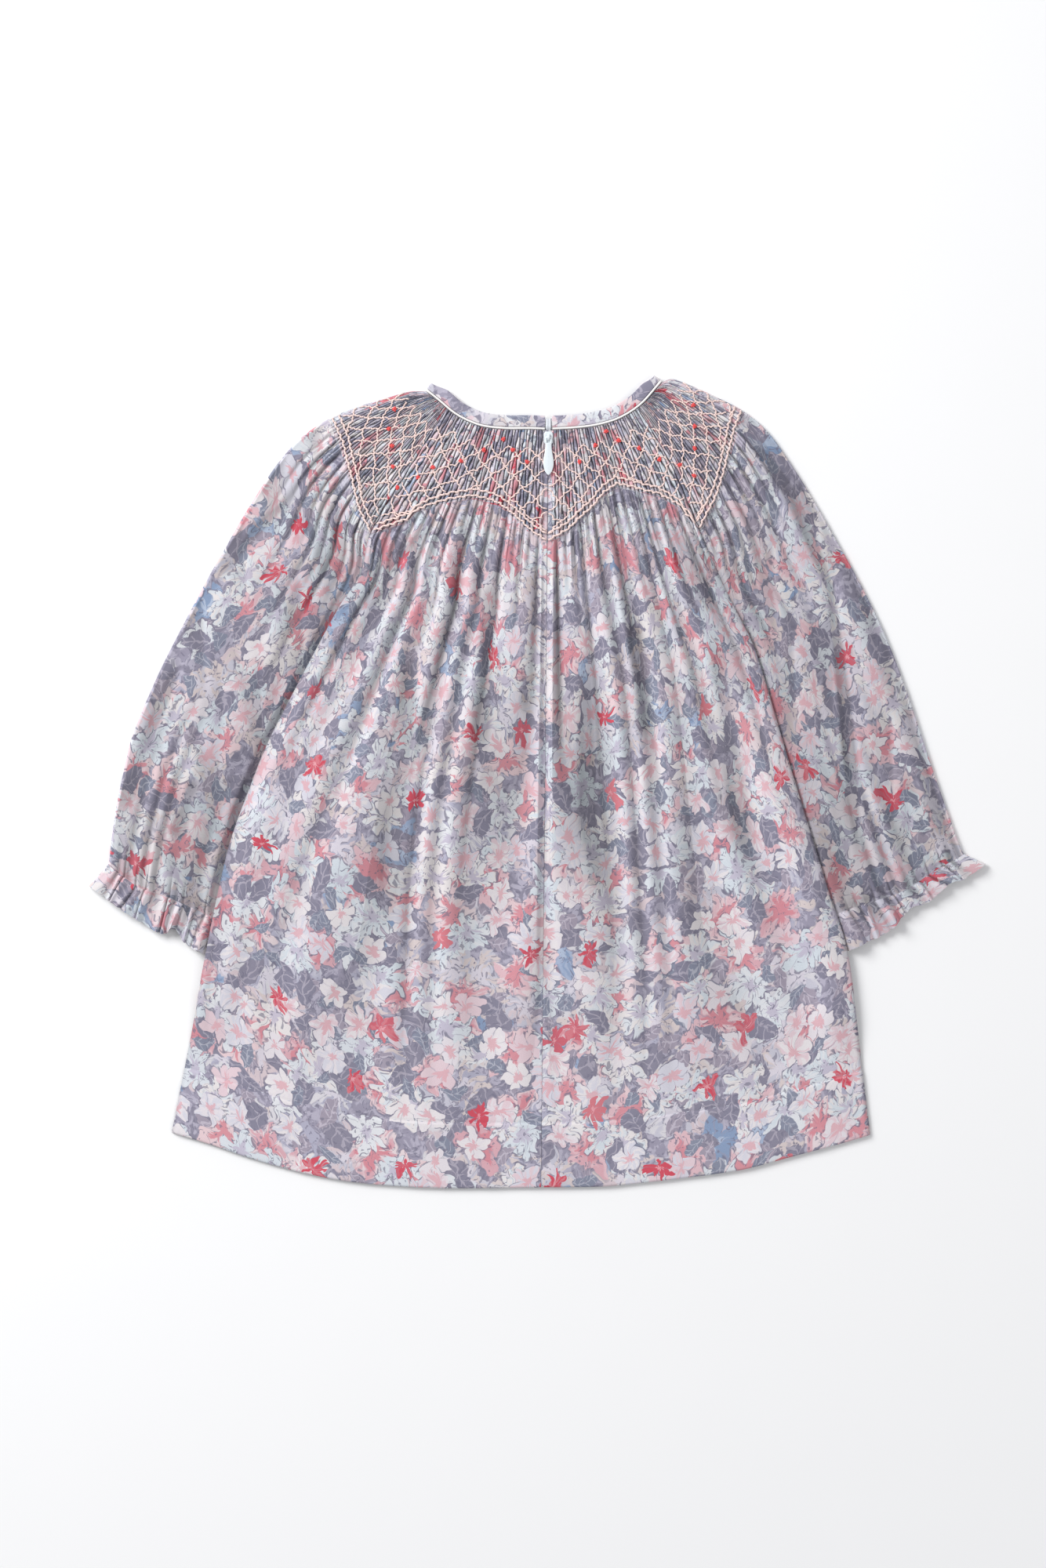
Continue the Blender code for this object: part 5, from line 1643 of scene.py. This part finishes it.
    def build(self, wardrobe: Wardrobe) -> None:
        """Make the shell of the sleeve and its frill and dress it.

        Args:
            wardrobe: the finishes.
        """
        reach = 0.978
        across = np.linspace(0.0, reach, self.columns)[None, :]
        limit = self.limit(across)
        smocked = np.linspace(0.0, 1.0, self.smock_rows)[:, None] * limit
        falls = np.linspace(0.0, 1.0, self.arm_rows + 1)[1:, None]
        blend = 0.2 + (limit - 0.2) * smooth(0.8, 0.3, falls)
        down = np.vstack([smocked, blend + (1.0 - blend) * falls])
        arm = self._wrap(self.surface(np.broadcast_to(across, down.shape), down), self.patch, reach, down)
        frill_down = np.linspace(0.0, 1.0, self.frill_rows + 1)[1:, None] + 0.0 * across
        upper = self.frill_surface(np.broadcast_to(across, frill_down.shape), frill_down)
        shell = arm.joined(self._wrap(upper, self.lines.frill, reach, frill_down), axis=0)
        lengths = np.vstack([down * self.length, self.length + self.frill_cut * frill_down])
        lower = np.repeat(lengths[:, -1:], shell.x.shape[1] - lengths.shape[1], axis=1)
        offset = (430.0 * self.lines.sign, 310.0)
        made = self._make(shell, np.hstack([lengths, lower]), wardrobe, offset)


def front_neck(left: HalfLines, right: HalfLines) -> Line:
    """Return the front's neck line, from the left raglan seam to the right one."""
    start = tuple(left.neck.at(left.side.raglan_share))
    end = tuple(right.neck.at(right.side.raglan_share))
    return Line((start, *FRONT_NECK, end))


@dataclass
class FrontPanel:
    """The front, which lies on the table under the rest."""

    left: HalfLines
    right: HalfLines
    thickness: float = 0.9
    rows: int = 90
    columns: int = 96

    def _edge(self, lines: HalfLines) -> list[Point]:
        """Return the front's edge on one side: beside the sleeve, then over it."""
        lengths = np.linspace(2.4, lines.body.length, 121)
        over = smooth(164.0, 190.0, lengths)
        inside = (lines.tuck(lengths) + SEAM_GAP + 0.9) * (1.0 - over) + 1.2 * over
        return rows_of(lines.body.beside(lengths / lines.body.length, -lines.sign * inside))

    def _lift(self, length: Array, from_edge: Array) -> Array:
        """Return how far the front is raised where a sleeve lies under its side."""
        hidden = 9.0 * smooth(164.0, 190.0, length) + 0.8
        rise = 3.1 * smooth(140.0, 152.0, length) * smooth(373.0, 350.0, length)
        return rise * smooth(hidden + 10.5, hidden, from_edge)

    def _patch(self) -> Patch:
        """Return the patch that the front fills."""
        near, far = self._edge(self.left), self._edge(self.right)
        top = rows_of(front_neck(self.left, self.right).beside(np.linspace(0, 1, 41), -1.42 * np.ones(41)))
        top[0] = near[0]
        top[-1] = far[0]
        hem = (*reversed(self.left.side.hem[1:-1]), *self.right.side.hem[1:-1])
        hem = [(x, y + 1.2) for x, y in hem]
        return Patch(Line(top, 2), Line((near[-1], *hem, far[-1])), Line(near, 1), Line(far, 1))

    def build(self, wardrobe: Wardrobe) -> None:
        """Make the front as a thin closed shell and dress it.

        Args:
            wardrobe: the finishes.
        """
        patch = self._patch()
        middle = np.linspace(0.0, 1.0, self.columns)
        down = np.linspace(0.0, 1.0, self.rows)[:, None] + 0.0 * middle
        across = middle - 0.04 * np.sin(2 * np.pi * middle) + 0.0 * down
        x, y = patch.at(across, down)
        length = down * np.where(across < 0.5, self.left.body.length, self.right.body.length)
        low = self._lift(length, np.minimum(across, 1.0 - across) * patch.width(down)) + 0.1
        layers = [np.stack([x, y, z], axis=-1).reshape(-1, 3) for z in (low + self.thickness, low)]
        size = x.size
        upper = grid_faces(self.rows, self.columns, turned=True)
        lower = grid_faces(self.rows, self.columns, turned=False) + size
        faces = np.vstack([upper, lower, self._rim(size)])
        cut = np.stack([across * 410.0, -down * 430.0], axis=-1).reshape(-1, 2)
        made = mesh_object("cloth_front", np.vstack(layers), faces, np.vstack([cut, cut]))
        wardrobe.dress(made, "front", np.zeros(2 * size), (900.0, 700.0))

    def _rim(self, size: int) -> Array:
        """Return the faces that close the shell round its edge."""
        corners = np.arange(size).reshape(self.rows, self.columns)
        sides = (corners[0], corners[:, -1], corners[-1, ::-1], corners[::-1, 0])
        loop = np.concatenate([side[:-1] for side in sides])
        following = np.roll(loop, -1)
        return np.stack([loop, following, following + size, loop + size], axis=1)


@dataclass(frozen=True)
class Station:
    """One place along the neck line: its centre, two directions across, and a share of the width."""

    centre: Array
    inward: Array
    normal: Array
    narrow: float = 1.0


@dataclass
class NeckTrim:
    """The bound neck edge and the piping under it, from the zip round to the zip."""

    left: HalfLines
    right: HalfLines
    top_z: float = 3.1
    low_z: float = 0.7
    piping_radius: float = 0.66
    binding_start: float = 0.85
    binding_width: float = 6.3
    binding_half: float = 0.6

    def _station(self, lines: HalfLines, share: float, z: float, normal: Array) -> Station:
        """Return one station of the neck line."""
        x, y = lines.neck.at(share)
        nx, ny = lines.neck.normal(share)
        inward = np.array([lines.sign * nx, lines.sign * ny, 0.0])
        return Station(np.array([x, y, z]), inward, normal, 1.0 - 0.42 * float(smooth(0.86, 1.0, share)))

    def _side_stations(self, lines: HalfLines) -> list[Station]:
        """Return the stations from the zip over the shoulder to the front."""
        turn = (self.top_z - self.low_z) / 2
        stop = 1.0 - (turn + 0.2) / lines.neck.length
        up = np.array([0.0, 0.0, 1.0])
        shares = np.linspace(2.2 / lines.neck.length, stop, 90)
        found = [self._station(lines, share, self.top_z, up) for share in shares]
        last = found[-1]
        nx, ny = lines.neck.normal(stop)
        out = np.array([ny, -nx, 0.0])
        for angle in np.linspace(0.0, math.pi, 14)[1:-1]:
            place = last.centre + turn * math.sin(angle) * out
            place[2] = (self.top_z + self.low_z) / 2 + turn * math.cos(angle)
            normal = math.sin(angle) * out + math.cos(angle) * up
            found.append(Station(place, last.inward, normal, last.narrow))
        shares = np.linspace(stop, lines.side.raglan_share, 16)
        return found + [self._station(lines, share, self.low_z, -up) for share in shares]

    def _stations(self) -> list[Station]:
        """Return all the stations round the neck."""
        line = front_neck(self.left, self.right)
        middle = []
        for share in np.linspace(0.0, 1.0, 42)[1:-1]:
            centre = np.array([*line.at(share), self.low_z])
            middle.append(Station(centre, np.array([*line.normal(share), 0.0]), np.array([0.0, 0.0, -1.0])))
        return [*self._side_stations(self.left), *middle, *reversed(self._side_stations(self.right))]

    def build(self, wardrobe: Wardrobe) -> None:
        """Make the piping and the binding and dress them.

        Args:
            wardrobe: the finishes.
        """
        stations = self._stations()
        angles = ring_angles(10)
        across = self.piping_radius * np.cos(angles)[:, None]
        upward = self.piping_radius * np.sin(angles)[:, None]
        piping = Lofts()
        piping.add([at.centre + across * at.inward + upward * at.normal for at in stations])
        settle(piping.mesh("trim_neck_piping"), "neck_piping", MAIN_BODY, wardrobe.piping)
        rings = []
        cut = []
        travelled = 0.0
        before = stations[0].centre
        for number, at in enumerate(stations):
            travelled += float(np.linalg.norm(at.centre - before))
            before = at.centre
            ring, places = self._band_ring(at, number)
            rings.append(ring)
            cut.append(np.stack([np.full(len(places), travelled), places], axis=-1))
        binding = Lofts()
        binding.add(rings)
        band = binding.mesh("trim_neck_binding", np.vstack(cut))
        wardrobe.dress(band, "neck_binding", np.zeros(binding.count), (250.0, 95.0))

    def _band_ring(self, at: Station, number: int) -> tuple[Array, Array]:
        """Return one ring of the binding and the cloth coordinates across it."""
        start = self.binding_start
        width = self.binding_width * at.narrow + start * 0.2
        angles = ring_angles(16)
        puff = squared(np.sin(angles), 0.7)
        wide = start + width * (0.5 + 0.5 * squared(np.cos(angles), 0.55))
        high = self.binding_half * puff * (0.86 + 0.14 * math.sin(number * 0.9))
        ring = at.centre + wide[:, None] * at.inward + high[:, None] * at.normal
        return ring, np.where(puff >= 0, wide, 2 * width + 2 * start - wide)


@dataclass
class Embroidery:
    """The smocking's threads: a trellis, a double border and small flowers, each stitch a tube."""

    pieces: tuple[SmockedPiece, ...]
    thread_radius: float = 0.44
    border_gap: float = 4.4

    def _run(self, threads: Lofts, piece: SmockedPiece, depths: Array, radius: float) -> None:
        """Work one line of stitches: over each pair of pleats and then down to the next.

        Args:
            threads: where the stitches go.
            piece: the piece that holds the smocking.
            depths: the distance from the neck on each pleat in millimetres, or nan where it isn't worked.
            radius: the thread's radius in millimetres.
        """
        count = piece.pleating.pleats
        numbers = np.arange(count - 1)
        numbers = numbers[~np.isnan(depths[:-1]) & ~np.isnan(depths[1:])]
        if not len(numbers):
            return
        here = depths[numbers]
        slant = depths[numbers + 1] - here

        def read(across: Array | float, down: Array | float) -> Surface:
            """Read the cloth this many pleats across and shares of the slant down from each stitch."""
            return piece.surface((numbers + across) / count, (here + down * slant) / piece.length)

        height = np.maximum(read(0.5, 0.0).z, read(1.5, 1.0).z) + radius * 0.5
        for across_start, across_end, down_start, down_end in ((0.12, 1.32, -0.1, 0.35), (1.18, 1.62, 0.2, 1.08)):
            start = read(across_start, down_start)
            end = read(across_end, down_end)
            for first, last in zip(zip(start.x, start.y, height), zip(end.x, end.y, height)):
                threads.stitch(np.array(first), np.array(last), radius)

    def _threads(self) -> Object:
        """Work the trellis and the double line along the smocking's lower edge."""
        threads = Lofts()
        for piece in self.pieces:
            made = piece.pleating
            places = np.arange(made.pleats) + 0.5
            limit = piece.limit(places / made.pleats) * piece.length
            for sign in (-1.0, 1.0):
                for line in range(-8, 14):
                    depths = made.first_row + made.cell_length * (line + sign * places / made.cell_pleats)
                    depths = depths + 0.9 * np.sin(places * 1.3 + line * 2.1) + 0.6 * np.sin(places * 2.9 - line)
                    worked = (depths > made.first_row - 1.0) & (depths < limit - self.border_gap - 0.5)
                    self._run(threads, piece, np.where(worked, depths, np.nan), self.thread_radius)
            for gap in (0.6, self.border_gap):
                ripple = 0.8 * (np.arange(made.pleats) % 2)
                self._run(threads, piece, limit - gap - ripple, self.thread_radius * 1.35)
        return threads.mesh("trim_smocking_thread")

    def build(self, wardrobe: Wardrobe) -> None:
        """Make the threads and the flowers and dress them.

        Args:
            wardrobe: the finishes.
        """
        settle(self._threads(), None, MAIN_BODY, wardrobe.thread)
        settle(self._flowers(), None, MAIN_BODY, wardrobe.floweret)

    def _heights(self) -> list[float]:
        """Return the highest smocked cloth near each small flower."""
        across, down = np.meshgrid(np.linspace(0.01, 0.97, 97), np.linspace(0.01, 0.27, 60))
        surfaces = [piece.surface(across, down) for piece in self.pieces]
        found = []
        for x, y in FLOWERETS:
            best = (1e9, 0.0)
            for cloth in surfaces:
                distance = np.hypot(cloth.x - x, cloth.y - y)
                near = distance < 2.2
                if np.any(near) and float(distance.min()) < best[0]:
                    best = (float(distance.min()), float(cloth.z[near].max()))
            found.append(best[1])
        return found

    def _flowers(self) -> Object:
        """Make the small flowers: a knot of short petals at each place."""
        petals = Lofts()
        for number, ((x, y), height) in enumerate(zip(FLOWERETS, self._heights())):
            centre = np.array([x, y, height + 0.4])
            for petal in range(5):
                angle = 2.0 * math.pi * petal / 5 + number * 0.8
                reach = 1.35 + 0.25 * math.sin(number * 3.1 + petal * 2.0)
                tip = centre + np.array([reach * math.cos(angle), reach * math.sin(angle), -0.35])
                petals.stitch(centre, tip, 0.62)
            petals.stitch(centre + np.array([-0.4, 0.0, 0.3]), centre + np.array([0.4, 0.1, 0.3]), 0.5)
        return petals.mesh("trim_flowerets")


@dataclass
class HemStitching:
    """The small stitches that hold the hem, along a line inside its edge."""

    panels: tuple[BackPanel, ...]
    spacing: float = 7.5
    stitch: float = 2.0
    radius: float = 0.2

    def build(self, wardrobe: Wardrobe) -> None:
        """Make the stitches of both halves as one piece and dress it.

        Args:
            wardrobe: the finishes.
        """
        stitches = Lofts()
        for panel in self.panels:
            down = 1.0 - (panel.hem_depth + 0.5) / panel.patch.near.length
            length = float(panel.patch.width(down))
            for place in np.arange(6.0, length - 4.0, self.spacing):
                found = panel.surface(np.array([place, place + self.stitch]) / length, np.full(2, down))
                start, end = found.corners + np.array([0.0, 0.0, 0.12])
                stitches.stitch(start, end, self.radius)
        settle(stitches.mesh("trim_hem_stitches"), None, MAIN_BODY, wardrobe.sewing)


@dataclass
class Zip:
    """The invisible zip: its tape with the closed teeth, the slider with its arch and the pull."""

    hinge_y: float = 192.6
    hinge_z: float = 5.95
    slider_base: float = 4.35
    pull_length: float = 21.4

    # Half the pull's width at distances from its ring's end, in millimetres.
    PULL_OUTLINE = (
        (0.0, 1.35), (0.25, 1.75), (0.8, 1.95), (2.8, 2.0), (4.4, 1.7), (7.0, 1.8), (9.6, 2.25),
        (12.2, 2.8), (14.4, 3.0), (16.4, 2.85), (18.2, 2.4), (19.8, 1.75), (20.9, 1.0), (21.4, 0.3),
    )
    # Half the tape's section: distance from the middle and height, with the teeth in relief.
    TAPE_HALF = ((0.25, 0.8), (0.9, 0.75), (1.7, 0.5), (1.7, 0.0))
    # The slider plate's rings: share of its outline and height.
    PLATE = ((0.05, 0.0), (0.9, 0.0), (1.0, 0.18), (1.0, 0.6), (0.93, 0.84), (0.8, 0.9), (0.05, 0.9))

    @staticmethod
    def centre_x(y: float) -> float:
        """Return X of the centre back line at this Y."""
        share = (CENTRE_BACK_TOP[1] - y) / (CENTRE_BACK_TOP[1] - CENTRE_BACK_HEM[1])
        return CENTRE_BACK_TOP[0] + (CENTRE_BACK_HEM[0] - CENTRE_BACK_TOP[0]) * share

    def build(self, wardrobe: Wardrobe) -> None:
        """Make the zip's pieces and dress them.

        Args:
            wardrobe: the finishes.
        """
        settle(self._tape(), "zip_tape", MAIN_BODY, wardrobe.tape)
        settle(self._slider(), "zip_slider", MAIN_BODY, wardrobe.enamel)
        settle(self._pull(), "zip_pull", PULL_BODY, wardrobe.enamel)

    def _tape(self) -> Object:
        """Make the tape as a thin strip with a raised row of coil on each side."""
        left = [(-wide, high) for wide, high in reversed(self.TAPE_HALF)]
        section = np.array([*left, (0.0, 0.45), *self.TAPE_HALF])
        rings = []
        for y in np.concatenate([np.linspace(62.0, 195.0, 20), np.linspace(196.3, 203.4, 16)]):
            low = 1.5 + float(smooth(196.3, 199.4, y)) + 0.15 * float(smooth(199.4, 203.4, y))
            x = self.centre_x(y)
            rings.append(np.stack([x + section[:, 0], np.full(len(section), y), low + section[:, 1]], axis=-1))
        strip = Lofts()
        strip.add(rings)
        return strip.mesh("zip_tape_strip")

    def _slider(self) -> Object:
        """Make the slider's rounded plate and its arch as one piece."""
        x = self.centre_x(self.hinge_y)
        body = Lofts()
        angles = ring_angles(40)
        wide = 2.6 * squared(np.cos(angles), 0.5)
        long = 3.6 * squared(np.sin(angles), 0.5)
        rings = []
        for size, high in self.PLATE:
            z = np.full(len(angles), self.slider_base + high)
            rings.append(np.stack([x + wide * size, self.hinge_y - 0.2 + long * size, z], axis=-1))
        body.add(rings)
        angles = ring_angles(14)
        beside = 0.75 * squared(np.cos(angles), 0.7)
        thick = 0.27 * squared(np.sin(angles), 0.7)
        rings = []
        for turn in np.linspace(-0.12, math.pi + 0.12, 28):
            y = self.hinge_y + (1.8 + thick) * math.cos(turn)
            z = self.slider_base + 0.5 + (2.02 + thick) * math.sin(turn)
            rings.append(np.stack([x + beside, y, z], axis=-1))
        body.add(rings)
        return body.mesh("zip_slider_body")

    def _pull(self) -> Object:
        """Make the pull: a ring round the arch that runs into a swollen teardrop."""
        x = self.centre_x(self.hinge_y)
        distances = np.concatenate([
            np.linspace(0.0, 0.84, 5), np.linspace(0.9, 3.4, 9), np.linspace(3.55, self.pull_length, 46),
        ])
        outline = table(self.PULL_OUTLINE, distances)
        hole = np.where((distances > 0.8) & (distances < 3.5), 0.95, 0.0)
        angles = ring_angles(16)
        across = squared(np.cos(angles), 0.8)
        upward = squared(np.sin(angles), 0.8)
        tab = Lofts()
        for sign in (-1.0, 1.0):
            rings = []
            for distance, half, inner in zip(distances, outline, hole):
                swell = 0.36 + 0.12 * float(smooth(7.0, 14.0, distance)) * float(smooth(21.4, 16.0, distance))
                wide = sign * (0.5 * (half + inner) + 0.5 * (half - inner) * across)
                high = swell * upward
                if inner == 0.0:
                    high = np.sign(high) * swell * np.sqrt(np.clip(1.0 - (wide / half) ** 2, 0.0, 1.0))
                y = np.full(len(angles), self.hinge_y + 0.42 - distance)
                rings.append(np.stack([x + wide, y, self.hinge_z + high], axis=-1))
            tab.add(rings, turned=sign < 0)
        return tab.mesh("zip_pull_tab")


@dataclass
class Studio:
    """The pale floor, the soft lights and the camera straight above."""

    pixel: float = 0.44
    frame: tuple[int, int] = (1334, 2000)
    origin: Point = (685.0, 996.0)
    focal: float = 85.0
    sensor: float = 36.0
    floor_half: float = 4000.0

    def build(self, wardrobe: Wardrobe) -> None:
        """Place the floor, the lights and the camera.

        Args:
            wardrobe: the finishes.
        """
        turns = ((-1, -1, 0), (1, -1, 0), (1, 1, 0), (-1, 1, 0))
        floor = mesh_object("studio_floor", self.floor_half * np.array(turns, float), np.array([[0, 1, 2, 3]]))
        floor.data.materials.append(wardrobe.floor)
        self._light("key_light", (-1.3, 1.0, 1.3), 1.0, 41.0)
        self._light("fill_light", (1.3, -0.6, 1.8), 1.8, 9.0)
        world = bpy.context.scene.world or bpy.data.worlds.new("studio_world")
        bpy.context.scene.world = world
        world.use_nodes = True
        background = world.node_tree.nodes["Background"]
        background.inputs[0].default_value = linear(250, 251, 255)
        background.inputs[1].default_value = 0.46
        bpy.context.scene.view_settings.view_transform = "Standard"
        self._camera()

    def _light(self, name: str, place: tuple[float, float, float], size: float, power: float) -> None:
        """Place one soft area light that looks at the dress."""
        data = bpy.data.lights.new(name, "AREA")
        data.size = size
        data.energy = power
        light = bpy.data.objects.new(name, data)
        light.location = place
        bpy.context.scene.collection.objects.link(light)
        x, y, z = place
        distance = math.sqrt(x * x + y * y + z * z)
        light.rotation_euler = (math.acos(z / distance), 0.0, math.atan2(y, x) + math.pi / 2)

    def _camera(self) -> None:
        """Place the camera above the middle of the photo's frame."""
        width, height = self.frame
        data = bpy.data.cameras.new("overhead_camera")
        data.sensor_fit = "VERTICAL"
        data.sensor_height = self.sensor
        data.lens = self.focal
        view_height = height * self.pixel * MILLIMETRE
        camera = bpy.data.objects.new("overhead_camera", data)
        x = (width / 2 - self.origin[0]) * self.pixel * MILLIMETRE
        y = (self.origin[1] - height / 2) * self.pixel * MILLIMETRE
        camera.location = (x, y, view_height * self.focal / self.sensor + 0.004)
        bpy.context.scene.collection.objects.link(camera)
        bpy.context.scene.camera = camera


def main() -> None:
    """Load the frame and make every piece."""
    logging.basicConfig(level=logging.INFO, format="%(name)s: %(message)s")
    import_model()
    left = HalfLines(LEFT_LINES)
    right = HalfLines(RIGHT_LINES)
    wardrobe = Wardrobe()
    Studio().build(wardrobe)
    FrontPanel(left, right).build(wardrobe)
    sleeves = (
        Sleeve(left, LEFT_SLEEVE_GATHERS, LEFT_SLEEVE_FOLDS),
        Sleeve(right, RIGHT_SLEEVE_GATHERS, RIGHT_SLEEVE_FOLDS),
    )
    panels = (BackPanel(left, LEFT_GATHERS, BACK_FOLDS), BackPanel(right, RIGHT_GATHERS, BACK_FOLDS))
    for piece in (*sleeves, *panels):
        piece.build(wardrobe)
    NeckTrim(left, right).build(wardrobe)
    Embroidery((*panels, *sleeves)).build(wardrobe)
    HemStitching(panels).build(wardrobe)
    Zip().build(wardrobe)


if __name__ == "__main__":
    main()
